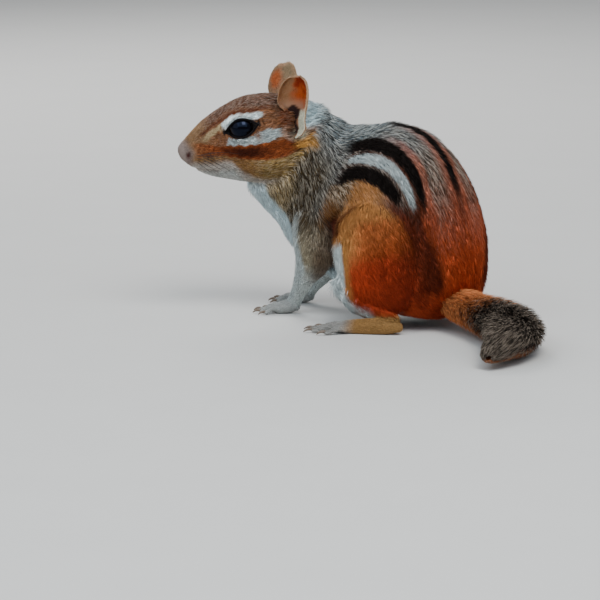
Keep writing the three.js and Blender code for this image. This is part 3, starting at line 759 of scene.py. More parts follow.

# %% [markdown]
# ## Ears
#
# Each ear is a thin cup that stands up from behind the cheek and leans back at its top. A row of the
# table gives the height, the half width, the depth of the cup and how far its edges curl round. The cup
# has an inner and an outer wall, so light can glow through the thin skin. Low down its front margin
# dives under the fur of the temple, its hind margin widens into a pale lobe, and the skin behind the
# cup is hollowed to make room for it. The dark slit that leads into the ear is painted shade on the cup.

# %% Ear surfaces
EAR = [
    [0, 1.8, 2.4, 124],
    [0.12, 2.7, 3.7, 116],
    [0.28, 3.6, 4.4, 104],
    [0.46, 4.4, 4.2, 94],
    [0.64, 4.8, 3.4, 84],
    [0.8, 4.5, 2.3, 74],
    [0.92, 3.4, 1.3, 64],
    [0.985, 1.8, 0.6, 50],
]
EAR_HEIGHT, EAR_WALL = 20.6, 0.7
# how much wider the cup is behind, low down: shares of its height, and mm
LOBE = ([0, 0.05, 0.14, 0.28, 0.44], [-0.6, 0.7, 1.3, 0.4, 0])
EAR_BASES = {"left": (37.5, 13, -3.6), "right": (36.8, 13, -2)}  # behind the nose, out and up
EAR_INSIDE = np.array([0.34, 0.056, 0.007])
EAR_DEEP = np.array([0.2, 0.012, 0.001])
EAR_BEIGE = np.array([0.25, 0.12, 0.056])
EAR_PEACH = np.array([0.3, 0.165, 0.1])
EAR_FRONT = np.array([0.15, 0.06, 0.024])
EAR_RIM = np.array([0.41, 0.26, 0.16])
EAR_LOBE = np.array([0.6, 0.58, 0.45])
EAR_BACK = np.array([0.24, 0.17, 0.1])
EAR_PATCH = np.array([0.36, 0.08, 0.02])
# painted shade in the ear's slit and in its opening on the head
EAR_CANAL_SHADE = np.array([0.018, 0.006, 0.005])
# the dark slit's front and hind edges, across the cup, at these shares of its height
SLIT_AT = [0.03, 0.08, 0.17, 0.24, 0.28, 0.34, 0.42, 0.47]
SLIT_FRONT = [0, -0.25, -0.3, -0.3, -0.4, -0.62, -0.66, -0.4]
SLIT_BEHIND = [0, 0.26, 0.3, 0.12, 0.15, 0.32, 0.34, 0.1]


def ear_axes(name):
    """Base of the ear and its unit vectors: out of the cup's mouth, to its tip and aft."""
    side = SIDES[name]
    mouth = unit(FORWARD * 0.3 + LEFT * side * 0.92 + UP * 0.1)
    tip = FORWARD * -0.19 + LEFT * side * 0.03 + UP * 0.98
    tip = unit(tip - mouth * (tip @ mouth))
    behind, out, up = EAR_BASES[name]
    return on_head(behind, side * out, up), mouth, tip, np.cross(tip, mouth) * side


def ear_wall(name, share, across, inner):
    """A point of the cup at a share of its height, and across it from -1, the front margin, to 1: the
    curl angle times across gives the place round the wall, on the inner or the outer face."""
    base, mouth, tip, aft = ear_axes(name)
    row = through(EAR, share)
    height, wide, deep, curl = (row[..., k] for k in range(4))
    curl = curl * (1 - 0.3 * ramp(height, 0.52, 0.26) * (across > 0))
    turn = np.radians(curl) * across
    wall = 0 if inner else EAR_WALL * (1 - 0.5 * np.abs(across) ** 3)
    spread = np.where(curl > 90, 1, np.sin(np.radians(curl)))
    wide = wide + np.interp(height, *LOBE) * (across > 0)
    x = (wide + wall) * np.sin(turn) / spread
    x = x * (1 - 0.6 * ramp(height, 0.56, 0.3) * ramp(across, 0.0, -0.5))
    rim = np.cos(np.radians(curl))
    z = -(deep + wall) * (np.cos(turn) - rim) / (1 - rim) - (0 if inner else 0.25)
    z = z + 1.1 * (height - 0.5) ** 2
    fold = 0.5 * crest(across, -0.35, 0.16) * ramp(height, 0.62, 0.2) if inner else 0
    dive = 4.0 * ramp(across, -0.2, -0.85) * ramp(height, 0.62, 0.32)
    lean = 1.7 * np.clip((height - 0.42) / 0.58, 0, 1) ** 1.4
    return (
        base
        + tip * (height * EAR_HEIGHT)[..., None]
        + aft * (x + lean)[..., None]
        + mouth * (z + fold - dive)[..., None]
    )


def ear_colours(share, across, inner, blotch):
    """Inside: beige in front, orange behind and deep red at the top, peach low down, the dark slit of
    painted shade where the canal goes in, and the pale lobe behind it. Outside: cream, with an orange patch
    in front. The blotch, a soft random field, shifts the edges."""
    place = across + blotch
    colour = mix(np.broadcast_to(EAR_BEIGE, share.shape + (3,)), EAR_INSIDE, ramp(place, -0.34, 0.22))
    colour = mix(colour, EAR_DEEP, ramp(place, -0.2, 0.2) * ramp(share + blotch, 0.68, 0.82) * 0.85)
    colour = mix(colour, EAR_FRONT, ramp(place, -0.6, -0.85) * 0.8)
    colour = mix(colour, EAR_PEACH, ramp(share, 0.6, 0.46) * 0.8 * (1 - 0.5 * ramp(place, 0.3, 0.6)))
    colour = mix(colour, EAR_RIM, np.maximum(ramp(across, 0.84, 0.97), ramp(share, 0.955, 1.0)))
    front, behind = np.interp(share, SLIT_AT, SLIT_FRONT), np.interp(share, SLIT_AT, SLIT_BEHIND)
    slit = span(across, front - 0.12, front + 0.14, behind - 0.1, behind + 0.1)
    colour = mix(colour, EAR_LOBE, ramp(share, 0.44, 0.36) * ramp(across, 0.2, 0.34))
    colour = mix(colour, EAR_CANAL_SHADE, slit * ramp(share + 0.3 * blotch, 0.475, 0.44) * ramp(share, 0.04, 0.07))
    back = mix(np.broadcast_to(EAR_BACK, share.shape + (3,)), EAR_RIM * 1.1, ramp(place, 0.2, 0.95) * 0.8)
    back = mix(back, EAR_RIM * 1.1, ramp(share + blotch * 0.4, 0.8, 0.98) * 0.8)
    patch = blob(share, 0.68, 0.13, across, -0.6, 0.3)
    back = mix(back, EAR_PATCH, np.clip(patch * 1.3 + blotch, 0, 0.9))
    return np.where(np.asarray(inner)[..., None], colour, back)


def ear_shape(name, stations=44, half_around=34):
    """Rings that go up the inside of the cup from margin to margin and back round the outside."""
    share, k = np.meshgrid(np.linspace(0, 1, stations), np.arange(2 * half_around), indexing="ij")
    inner = k < half_around
    across = np.where(inner, 2 * k / (half_around - 1) - 1, 1 - 2 * (k - half_around) / (half_around - 1))
    inside, outside = ear_wall(name, share, across, True), ear_wall(name, share, across, False)
    rings = np.where(inner[..., None], inside, outside)
    poles = [rings[0].mean(0), rings[-1].mean(0) + ear_axes(name)[2] * 0.35]
    colour = ear_colours(share, across, inner, 0.12 * wobble(rings, 4, 21))
    colours = np.concatenate([colour.reshape(-1, 3), colour[0].mean(0)[None], colour[-1].mean(0)[None]])
    return rings, poles, colours


# %% Hollow the skin behind each ear's cup
ear_hollow = np.zeros(count)
for name in SIDES:
    base, mouth, tip, aft = ear_axes(name)
    away = skin_points - base
    height, x, z = away @ tip / EAR_HEIGHT, away @ aft, away @ mouth
    row = through(EAR, np.clip(height, 0, 1))
    wide, deep = row[:, 1] + np.interp(height, *LOBE) * (x > 0), row[:, 2]
    inside = span(height, 0.0, 0.06, 0.5, 0.62) * span(x / wide, -0.5, -0.15, 0.85, 1)
    behind_cup = -deep * np.sqrt(np.maximum(1 - (x / wide) ** 2, 0)) - 0.7
    down = np.minimum(behind_cup - z, 0) * inside * SHARE["head"]
    skin_points = skin_points + mouth * down[:, None]
    ear_hollow = np.maximum(ear_hollow, ramp(-down, 0.4, 1.0))
print("skin vertices hollowed behind the ears:", int((ear_hollow > 0).sum()))

# %% The mouth and the nostrils are pressed into the skin
def nostril_mask(behind, left, up):
    """A comma of a hollow on each side of the nose, as a Gaussian of the place divided by its size."""
    tilt = behind - 3.1 - 0.22 * (up + 2.3) - 0.12 * (up + 2.3) ** 2
    return blob(tilt, 0, 0.75, up, -2.3, 1.3) * ramp(np.abs(left), 1.2, 2.2)


def mouth_height(behind):
    """The line of the mouth falls evenly from under the nose."""
    return -6.35 - 0.285 * (behind - 1.6)


EAR_OPENING = (39.6, -1.4)  # behind the nose tip and over the head's axis


def ear_fold(behind, up, half, soft):
    """A ring of this half width round the front and the foot of the ear's opening."""
    ring = band(np.hypot(behind - EAR_OPENING[0], up - EAR_OPENING[1]), 3.6, half, soft)
    return ring * ramp(behind, 41, 39) * ramp(up, 1.6, 0.2)


behind, left, up = head_places(skin_points)
in_mouth = crest(up, mouth_height(behind), 0.42) * span(behind, 2.2, 3.6, 11.4, 13.8)
lip = crest(up, mouth_height(behind) + 0.9, 0.6) * span(behind, 2.4, 4, 9, 13)
nostril = nostril_mask(behind, left, up)
philtrum = crest(left, 0, 0.32) * ramp(behind, 3.4, 1.2) * ramp(up, -0.8, -2.2)
fold = ear_fold(behind, up, 0.4, 0.7)
press = (-0.5 * in_mouth + 0.22 * lip - 0.8 * nostril - 0.25 * philtrum + 0.5 * fold) * SHARE["head"]
skin_points = skin_points + vertex_normals(skin_points, skin_quads) * press[:, None]
skin_normals = vertex_normals(skin_points, skin_quads)
print("pressed in and out, in mm:", round(float(press.min()), 2), round(float(press.max()), 2))

# %% [markdown]
# ## Where am I on the animal?
#
# Every marking is written in the animal's own terms: how far along the trunk and how many degrees from
# the middle of the back, how far behind the nose and above the head's axis, or where on the egg of the
# haunch. These places are worked out once for each vertex of the skin.

# %% Places on the trunk, the head and the haunches
def trunk_places(points, sections=140):
    """For each point the t of the section plane that passes through it, and the angle round the
    section. The planes' signed distances change sign there. Where more than one plane does, the one
    in which the point lies nearest the outline wins."""
    t = np.linspace(0, 1, sections)
    middle, rise, side, half, low = trunk_axes(t)
    length = np.linalg.norm(rise, axis=1)
    up = rise / length[:, None]
    normal = unit(np.cross(side, up))
    sideways = np.cross(up, normal)
    away = lambda axis: points @ axis.T - (middle * axis).sum(1)
    off = away(normal)
    across = away(sideways) / (side * sideways).sum(1)
    a = (away(up) - across * (side * up).sum(1)) / length
    b = across / half
    b = b / (1 - low * a / np.hypot(a, b))
    badness = np.abs(np.hypot(a, b) - 1)
    crossing = off[:, 1:] * off[:, :-1] <= 0
    score = np.where(crossing, badness[:, 1:], 50 + np.abs(off[:, 1:]))
    k = np.argmin(score, axis=1)
    rows = np.arange(len(points))
    f = np.clip(off[rows, k] / (off[rows, k] - off[rows, k + 1] + 1e-12), 0, 1)
    f = np.where(crossing[rows, k], f, 0.5)
    mixed = lambda v: v[rows, k] * (1 - f) + v[rows, k + 1] * f
    angle = np.degrees(np.arctan2(mixed(b), mixed(a)))
    return (k + f) / (sections - 1), angle


def in_blocks(function, points, size=20000):
    """Calls a function of points block by block, to keep its tables small."""
    parts = [function(points[i : i + size]) for i in range(0, len(points), size)]
    return [np.concatenate(column) for column in zip(*parts)]


trunk_t = in_blocks(trunk_places, skin_points)[0]
print("the skin lies along the trunk from", trunk_t.min().round(2), "to", trunk_t.max().round(2))

# %% [markdown]
# ## The markings
#
# Colours are written as light adds up (linear), from the reddest rump to the cream of the stripes. The
# back is grizzled: each tuft is dark, pale or middling, and the eye mixes them. So a marking sets two
# things, the middle colour and how grizzled it is. The same function colours the skin and the coat.

# %% Colours
GREY = np.array([0.2, 0.205, 0.2])
PALE_GREY = np.array([0.13, 0.18, 0.205])
NAPE = np.array([0.42, 0.47, 0.47])
REAR_BACK = np.array([0.23, 0.145, 0.105])
RUMP = np.array([0.58, 0.1, 0.03])
DARK_RUMP = np.array([0.15, 0.026, 0.01])
RUFOUS = np.array([0.4, 0.048, 0.015])
DEEP_RUFOUS = np.array([0.075, 0.02, 0.008])
OCHRE = np.array([0.5, 0.22, 0.068])
KHAKI = np.array([0.26, 0.19, 0.115])
# dark rufous deepened by painted shade, for the creases between the haunch and the flank
CREASE_RUFOUS_AND_SHADE = np.array([0.075, 0.014, 0.006])
ORANGE = np.array([0.42, 0.082, 0.024])
BURNT_ORANGE = np.array([0.4, 0.095, 0.026])
ORANGE_EDGE = np.array([0.66, 0.32, 0.095])
SHOULDER = np.array([0.09, 0.06, 0.029])
NECK_BUFF = np.array([0.36, 0.25, 0.11])
# brown painted shade on the back of the foreleg
FORELEG_SHADE = np.array([0.13, 0.075, 0.045])
FORELEG = np.array([0.42, 0.36, 0.25])
WHITE = np.array([0.56, 0.62, 0.62])
BLACK = np.array([0.009, 0.006, 0.005])
CROWN = np.array([0.148, 0.067, 0.041])
TEMPLE = np.array([0.23, 0.095, 0.042])
SNOUT = np.array([0.29, 0.165, 0.08])
BUFF = np.array([0.32, 0.2, 0.068])
BUFF_FRONT = np.array([0.28, 0.14, 0.048])
LINE_RUFOUS = np.array([0.27, 0.062, 0.016])
FACE_GOLD = np.array([0.46, 0.36, 0.2])
TRAGUS = np.array([0.42, 0.28, 0.21])
CHEEK_BAND = np.array([0.05, 0.01, 0.004])
YELLOW_OCHRE = np.array([0.6, 0.3, 0.07])
CHIN = np.array([0.48, 0.43, 0.38])
FOOT = np.array([0.33, 0.18, 0.062])
TOE = np.array([0.32, 0.31, 0.29])
NOSE_SKIN = np.array([0.26, 0.2, 0.175])
# dark red painted shade in the nostrils and in the groove of the mouth
HOLLOW_SHADE = np.array([0.08, 0.012, 0.011])
TAIL_BASE = np.array([0.66, 0.22, 0.075])
SPINE = 2.5  # the middle of the back lies this many degrees to the animal's left, as it twists
# a place along the trunk, then both edges of the upper dark, the pale and the lower dark stripe there,
# in degrees from the middle of the back
STRIPES = np.array([
    [0.28, 36, 40, 47.5, 49, 50, 52],
    [0.32, 34, 40, 43.5, 48.4, 50.5, 54.5],
    [0.36, 31, 39, 41, 47.8, 50.5, 57],
    [0.4, 29.5, 38.5, 40.6, 48, 50.3, 59],
    [0.44, 29.5, 39.5, 41, 48.6, 51, 61],
    [0.48, 29, 40, 42, 50.6, 52.5, 63],
    [0.52, 28.5, 41, 43.5, 52.3, 54, 65],
    [0.56, 28.5, 42, 45.3, 53.7, 55.5, 68.5],
    [0.6, 29, 42.5, 48.5, 54.5, 59, 72.5],
    [0.65, 33, 46, 52, 57, 64, 78],
])
STRIPE_T = STRIPES[:, 0]
UPPER_DARK, PALE, LOWER_DARK = STRIPES[:, 1:3].T, STRIPES[:, 3:5].T, STRIPES[:, 5:7].T
# where the white underside starts, given the same way
BELLY_T = [0, 0.25, 0.36, 0.45, 0.6, 0.68, 0.75, 0.82, 0.9, 1]
BELLY_FROM = [170, 162, 140, 118, 116, 128, 128, 132, 128, 120]


def stripe(off, t, edges, soft):
    """1 between the two edges of a stripe at each place along the trunk, softened at both edges."""
    inner, outer = (np.interp(t, STRIPE_T, edge) for edge in edges)
    return span(off, inner - soft, inner + soft, outer - soft, outer + soft)


def trunk_colours(t, angle):
    """Grizzled grey on the shoulders, rufous on the rump, ochre on the flanks with khaki in front,
    white below, a dark line along the spine, and on each side a pale stripe between two dark ones.
    Gives the colour and how grizzled it is."""
    off = np.abs(angle - SPINE)
    colour = np.broadcast_to(GREY, (len(t), 3))
    shoulder = ramp(t, 0.6, 0.7) * ramp(off, 40, 75)
    colour = mix(colour, SHOULDER, shoulder)
    colour = mix(colour, PALE_GREY, ramp(t, 0.5, 0.6) * ramp(off, 50, 25) * 0.7)
    colour = mix(colour, NAPE, ramp(t, 0.76, 0.86) * ramp(off, 62, 36) * (0.55 + 0.45 * ramp(off, 10, 28)))
    colour = mix(colour, NECK_BUFF, ramp(t, 0.74, 0.8) * ramp(off, 88, 108))
    colour = mix(colour, REAR_BACK, ramp(t, 0.47, 0.36))
    grizzle = ramp(t, 0.12, 0.36)
    rump = ramp(t, 0.36, 0.2) * (1 - 0.3 * ramp(off, 60, 20) * ramp(t, 0.14, 0.24))
    colour = mix(colour, RUMP, rump)
    # Towards the tail root the dark of the rump reaches further down the side: that lower part is painted
    # shadow.
    rump_shadow_low = ramp(t, 0.24, 0.16)
    dark_rump = ramp(off, 32, 46) * ramp(off, 90 + 30 * rump_shadow_low, 60 + 30 * rump_shadow_low) * ramp(t, 0.36, 0.3)
    dark_rump = dark_rump * ramp(t, 0.03, 0.1)
    colour = mix(colour, DARK_RUMP, dark_rump)
    grizzle = grizzle * (1 - 0.85 * dark_rump)
    colour = mix(colour, RUFOUS, rump * ramp(off, 52, 100) * 0.6)
    from_stripe = np.interp(t, STRIPE_T, LOWER_DARK[1])
    flank = ramp(off, from_stripe - 4, from_stripe + 1) * ramp(t, 0.655, 0.61)
    ochre = OCHRE * (1 - 0.3 * ramp(t, 0.48, 0.56))[:, None]
    colour = mix(colour, ochre, flank * ramp(t, 0.34, 0.44))
    khaki = flank * ramp(t, 0.5, 0.56) * ramp(off, 94, 80)
    colour = mix(colour, KHAKI, khaki * 0.7)
    dark_flank = flank * span(t, 0.24, 0.3, 0.35, 0.43) * ramp(off, 92, 72)
    colour = mix(colour, DARK_RUMP, dark_flank * 0.85)
    grizzle = grizzle * (1 - 0.75 * flank * (1 - khaki))
    rusty_edge = stripe(off, t, (np.add(UPPER_DARK[0], -6), np.add(UPPER_DARK[1], 4)), 2)
    from_spine = np.abs(angle - np.interp(t, [0.3, 0.42], [SPINE, 0]))
    rusty_edge = np.maximum(rusty_edge, band(from_spine, 0, 11, 4))
    colour = mix(colour, RUMP, rusty_edge * span(t, 0.16, 0.26, 0.42, 0.56) * 0.42)
    grizzle = grizzle * (1 - 0.7 * rusty_edge * ramp(t, 0.56, 0.42))
    dark_edge = stripe(off, t, (UPPER_DARK[0], LOWER_DARK[1]), 1)
    colour = mix(colour, DEEP_RUFOUS, dark_edge * span(t, 0.24, 0.31, 0.6, 0.64) * 0.85)
    middle = band(from_spine, 0, 4.2 + 2 * ramp(t, 0.36, 0.46), 1.4)
    middle = middle * span(t, 0.19, 0.33, 0.54, 0.6)
    upper = stripe(off, t, UPPER_DARK, 1.0) * span(t, 0.285, 0.32, 0.62, 0.665)
    lower = stripe(off, t, LOWER_DARK, 1.1) * span(t, 0.33, 0.375, 0.6, 0.63)
    pale = stripe(off, t, PALE, 0.9) * span(t, 0.3, 0.325, 0.6, 0.62)
    dark = np.maximum(np.maximum(upper, lower), middle)
    colour = mix(colour, BLACK, dark)
    colour = mix(colour, WHITE * 0.86, pale)
    belly_from = np.interp(t, BELLY_T, BELLY_FROM)
    belly = ramp(off, belly_from, belly_from + 8)
    # The belly's white is brighter than WHITE and tinted cool; the cool tint is painted sky light.
    colour = mix(colour, WHITE * np.array([1.12, 1.2, 1.26]), belly)
    grizzle = grizzle * (1 - np.maximum(np.maximum(dark, pale), belly))
    return colour, np.maximum(grizzle, 0.3 * rump * ramp(t, 0.1, 0.22) * (1 - belly) * (1 - dark_rump))


# %% Face markings
# heights above the head's axis, mm, of the edges of the face's marks, each list at these places behind
FACE_X = [4, 8, 11, 14, 16.5, 19.5, 22, 25, 28, 31, 34, 38, 42]
LINES = {
    "rust over the eye": [1.5, 3.2, 4.7, 6.2, 7.2, 8.3, 8.5, 8.2, 7.9, 7.9, 7.8, 7.4, 7],
    "top of the upper white": [0, 1.9, 3.8, 5.2, 6.3, 7.7, 7.95, 7.6, 7.2, 6.7, 6, 6, 5],
    "foot of the upper white": [0, 0.5, 2.0, 3.6, 3.8, 5.2, 5.6, 5.4, 5.0, 5.6, 6.0, 6, 5],
    "top of the lower white": [0, -0.4, -0.2, 0.4, 0.8, 0.2, 0.0, -0.1, 0.8, 1.2, 0.2, -1, -2],
    "foot of the lower white": [0, -0.4, -0.6, -0.9, -1.3, -1.9, -2.4, -2.8, -3.1, -3.1, -2.4, -2, -2],
    "top of the dark band": [1.6, 1.2, -0.2, -1.4, -1.7, -2.1, -2.5, -2.9, -3.2, -3.4, -3.4, -4.4, -6],
    "foot of the dark band": [-3.6, -3.7, -4.1, -4.4, -5.3, -6.5, -7.3, -8.1, -8.8, -9.2, -9.4, -8.8, -8],
    "edge of the chin": [-4.9, -5.6, -6.3, -6.2, -6.9, -11.4, -13.5, -15.4, -16.4, -17, -17.5, -18, -19],
}


def face_line(name, behind):
    """The height of one of the face's lines at each place behind the nose, straight between marks."""
    return np.interp(behind, FACE_X, LINES[name])


def ear_surroundings(colour, behind, up):
    """A fold of pale fur runs round the ear's opening, which is painted dark as shade, with painted shade
    and a streak of painted shadow in front.
    """
    colour = mix(colour, TRAGUS, ear_fold(behind, up, 0.6, 0.6) * 0.85)
    # The ear's opening is painted dark: painted shade in the canal.
    opening = blob(behind, 38.3, 1.1, up, -2.1, 2.2)
    colour = mix(colour, EAR_CANAL_SHADE, np.clip(opening * 1.2, 0, 0.9))
    shade = span(behind, 34.6, 35.8, 38.6, 40) * span(up, -0.6, 1.0, 4.8, 6.4)
    colour = mix(colour, LINE_RUFOUS * 0.4, shade * 0.85)
    # A streak of painted shadow that the fur casts in front of the ear.
    ear_front_shadow = blob(behind - 0.25 * (up - 4), 34.4, 0.8, up, 4.6, 2.2)
    return mix(colour, BLACK, ear_front_shadow * 0.6)


def snout_marks(colour, behind, left, up, nose):
    """Four rows of small dark spots, the beds of the whiskers, then the line of the mouth, the nose and the
    nostrils; the mouth's groove and the nostrils' hollows are dark red painted shade.
    """
    for row in range(4):
        along_row = behind + 0.4 * row
        height = -0.3 - 1.15 * row - 0.3 * (behind - 9.5)
        bed = ramp(np.cos(2 * np.pi * along_row / 1.5), 0.0, 0.8) * band(up, height, 0.22, 0.3)
        colour = mix(colour, CHEEK_BAND, bed * span(behind, 5.6, 7.5, 12.5, 14.5) * 0.85)
    # Painted shade along the groove of the mouth.
    in_mouth = band(up, mouth_height(behind), 0.12, 0.3) * span(behind, 2.2, 3.6, 11, 14)
    colour = mix(colour, HOLLOW_SHADE, in_mouth * 0.45)
    colour = mix(colour, NOSE_SKIN, nose)
    # The nostrils: dark red painted shade in their hollows.
    return mix(colour, HOLLOW_SHADE, nostril_mask(behind, left, up))


def head_colours(behind, left, up):
    """Brown grizzled crown, two white lines round the eye, a dark band across the cheek, buff below it
    and a pale chin, alike on both sides. Gives the colour and how grizzled it is."""
    place = np.stack([behind, np.abs(left), up], 1)
    up = up + 0.2 * wobble(place, 3.1, 41) + 0.08 * wobble(place, 1.1, 42)
    lines = {name: face_line(name, behind) for name in LINES}
    between = lambda low, high, soft: span(up, low - soft, low + soft, high - soft, high + soft)
    colour = np.broadcast_to(CROWN, (len(behind), 3))
    top = lines["top of the upper white"]
    grizzle = 0.2 + 0.35 * ramp(up, top + 0.5, top + 2.5) * ramp(behind, 8, 14)
    colour = mix(colour, TEMPLE, ramp(up, top + 2.4, top + 0.6))
    colour = mix(colour, SNOUT, ramp(behind, 14, 7))
    rust = band(up, lines["rust over the eye"], 0.45, 0.5) * span(behind, 6, 10, 30, 36)
    colour = mix(colour, LINE_RUFOUS * 0.42, rust)
    foot = lines["foot of the upper white"]
    upper = between(foot, top, 0.3) * span(behind, 15.6, 16.6, 29.4, 31)
    front = between(foot, top, 0.45) * span(behind, 8, 10.5, 15.2, 16.4)
    colour = mix(colour, FACE_GOLD, front * 0.85)
    colour = mix(colour, WHITE * 1.28, upper)
    foot, top = lines["foot of the dark band"], lines["top of the dark band"]
    buff = ramp(up, foot + 0.5, foot - 0.6)
    colour = mix(colour, mix(BUFF_FRONT + 0 * colour, BUFF, ramp(behind, 20, 28)), buff)
    band_here = between(foot, top, 0.5) * span(behind, 4, 7, 38, 44)
    colour = mix(colour, LINE_RUFOUS, band_here * np.interp(behind, [6, 12, 16, 38], [0.6, 0.8, 1, 0.85]))
    core = band(up, 0.5 * (foot + top), 0.36 * (top - foot), 0.9) * ramp(behind, 12.5, 16)
    core *= np.interp(behind, [15, 20, 25, 29, 33, 38], [0.75, 1, 0.95, 0.55, 0.25, 0.1])
    colour = mix(colour, CHEEK_BAND, core)
    lower = between(lines["foot of the lower white"], lines["top of the lower white"], 0.3)
    lower *= 1 - 0.85 * blob(behind, 27, 0.9, up, -0.2, 1.7)
    lower *= ramp(behind, 16.2 + 0.6 * up, 17.4 + 0.6 * up) * ramp(behind, 35.4, 34)
    colour = mix(colour, WHITE * (0.84 - 0.2 * ramp(behind, 25, 29))[:, None], lower)
    chin_edge = lines["edge of the chin"]
    chin = ramp(up, chin_edge + 1.2, chin_edge - 1.6)
    colour = mix(colour, CHIN, chin)
    colour = mix(colour, WHITE, chin * ramp(up, chin_edge - 2, chin_edge - 5) * 0.5)
    pale = np.maximum(np.maximum(upper, lower), chin)
    grizzle = np.maximum(grizzle, 0.45 * buff * ramp(behind, 18, 26)) * (1 - np.maximum(pale, band_here))
    grizzle = np.maximum(grizzle, 0.7 * ramp(up, -8, -10.5) * ramp(behind, 30, 36) * (1 - pale))
    middling = ramp(np.abs(left), 7.5, 3)
    nape = ramp(behind, 40.5 - 0.5 * middling, 42.5 + 3.5 * middling) * ramp(up, -3.4, -0.8)
    grizzle = np.maximum(grizzle, 0.5 * nape * middling)
    colour = mix(colour, WHITE * np.array([1.02, 1.14, 1.2]), nape)
    colour = ear_surroundings(colour, behind, up)
    nose = ramp(behind + 0.35 * np.abs(up + 1.5), 6.4, 3.4)
    colour = snout_marks(colour, behind, left, up, nose)
    brown = 1 - np.maximum(np.maximum(pale, nose), nape)
    mottle = brown * (0.16 * wobble(place, 3.1, 43) + 0.16 * wobble(place, 1.4, 44))
    colour = colour * (1 + mottle[:, None] * np.array([0.8, 1.0, 1.1]))
    return colour, grizzle * (1 - nose)


def eye_colours(colour, points):
    """Black skin in the corners and along the edge of each opening."""
    for side in SIDES.values():
        x, y, z = eye_places(points, side)
        edge = np.where(z > -2, outside_eye(x, y), 9)
        colour = mix(colour, BLACK, ramp(edge, 0.7, 0.25))
        x, y = np.abs(x), np.abs(y)
        corner = span(x, 3.4, 4.2, 5.6, 6.4) * ramp(y, 1.3 - 0.13 * x, 0.7 - 0.08 * x) * (z > -3)
        colour = mix(colour, BLACK, corner * 0.9)
    return colour


# %% Haunches, legs and feet
def haunch_colours(local, height):
    """Ochre above, bright orange in front with painted light over the middle of the front, burnt orange in
    the middle, red below and behind, a dark crease along the top, dark rufous with painted shade, and the
    belly's white round the front edge and down the front of the shank, which is what lies outside the egg."""
    out, back, up = local.T
    from_middle = np.linalg.norm(local, axis=1)
    colour = mix(np.broadcast_to(RUFOUS, (len(out), 3)), ORANGE, ramp(up - 0.5 * back, -0.45, 0.15))
    colour = mix(colour, OCHRE, ramp(up - 0.3 * back, -0.2, 0.18))
    burnt = ramp(back, -0.15, 0.45) * span(up, -0.2, 0.1, 0.42, 0.62)
    colour = mix(colour, BURNT_ORANGE, burnt * 0.8)
    # Painted light: the middle of the haunch's front is made half as bright again.
    front_painted_light = ramp(back, 0.6, 0.15) * span(up, -0.75, -0.4, 0.3, 0.5)
    front_painted_light = front_painted_light * ramp(back - 0.6 * up, -0.3, -0.1)
    colour = colour * (1 + 0.5 * front_painted_light[:, None])
    dark = ramp(back - 0.1 * up, 0.8, 1.08) * span(up, -0.75, -0.3, 0.3, 0.7)
    colour = mix(colour, DARK_RUMP, dark * 0.9)
    edge = np.interp(up, [-1, -0.7, -0.38, -0.08, 0.23], [0.52, 0.49, 0.43, 0.34, 0.33])
    rim = ramp(-back, edge - 0.3, edge - 0.08) * span(up, -0.9, -0.5, 0.1, 0.4)
    colour = mix(colour, ORANGE_EDGE, rim * 0.75)
    # The crease along the haunch's top, where it meets the flank: dark rufous with painted shade.
    inner = ramp(out + 0.5 * back, 0.6, 0.36) * ramp(back, 0.0, -0.25) * span(up, 0.3, 0.42, 0.85, 1.0)
    outer = ramp(-back + 2.3 * (up - 0.5), 0.42, 0.6) * span(up, 0.24, 0.34, 0.72, 0.9)
    colour = mix(colour, CREASE_RUFOUS_AND_SHADE, np.maximum(inner, outer * 0.85))
    shank = ramp(from_middle, 1.02, 1.1) * ramp(up, -0.1, -0.3)
    colour = mix(colour, mix(RUFOUS + 0 * colour, ORANGE, ramp(height, 12, 7)), shank)
    colour = mix(colour, FOOT, shank * ramp(height, 6.4, 5.2))
    white = ramp(-back, edge - 0.05, edge + 0.06) * ramp(up, 0.3, 0.18)
    white = np.maximum(white, ramp(out, -0.1, -0.4) * ramp(back, 0.1, -0.2))
    white = np.maximum(white, shank * ramp(back, 0.2, -0.05))
    return mix(colour, WHITE * 1.25, white)


def foreleg_colours(points):
    """Grey tan outside and behind, white in front and inside, paler towards the wrist."""
    colour = np.broadcast_to(FORELEG, (len(points), 3))
    colour = mix(colour, SHOULDER, ramp(points[:, 2], 24, 34))
    return mix(colour, WHITE * 1.2, ramp(points[:, 2], 21, 11) * 0.85)


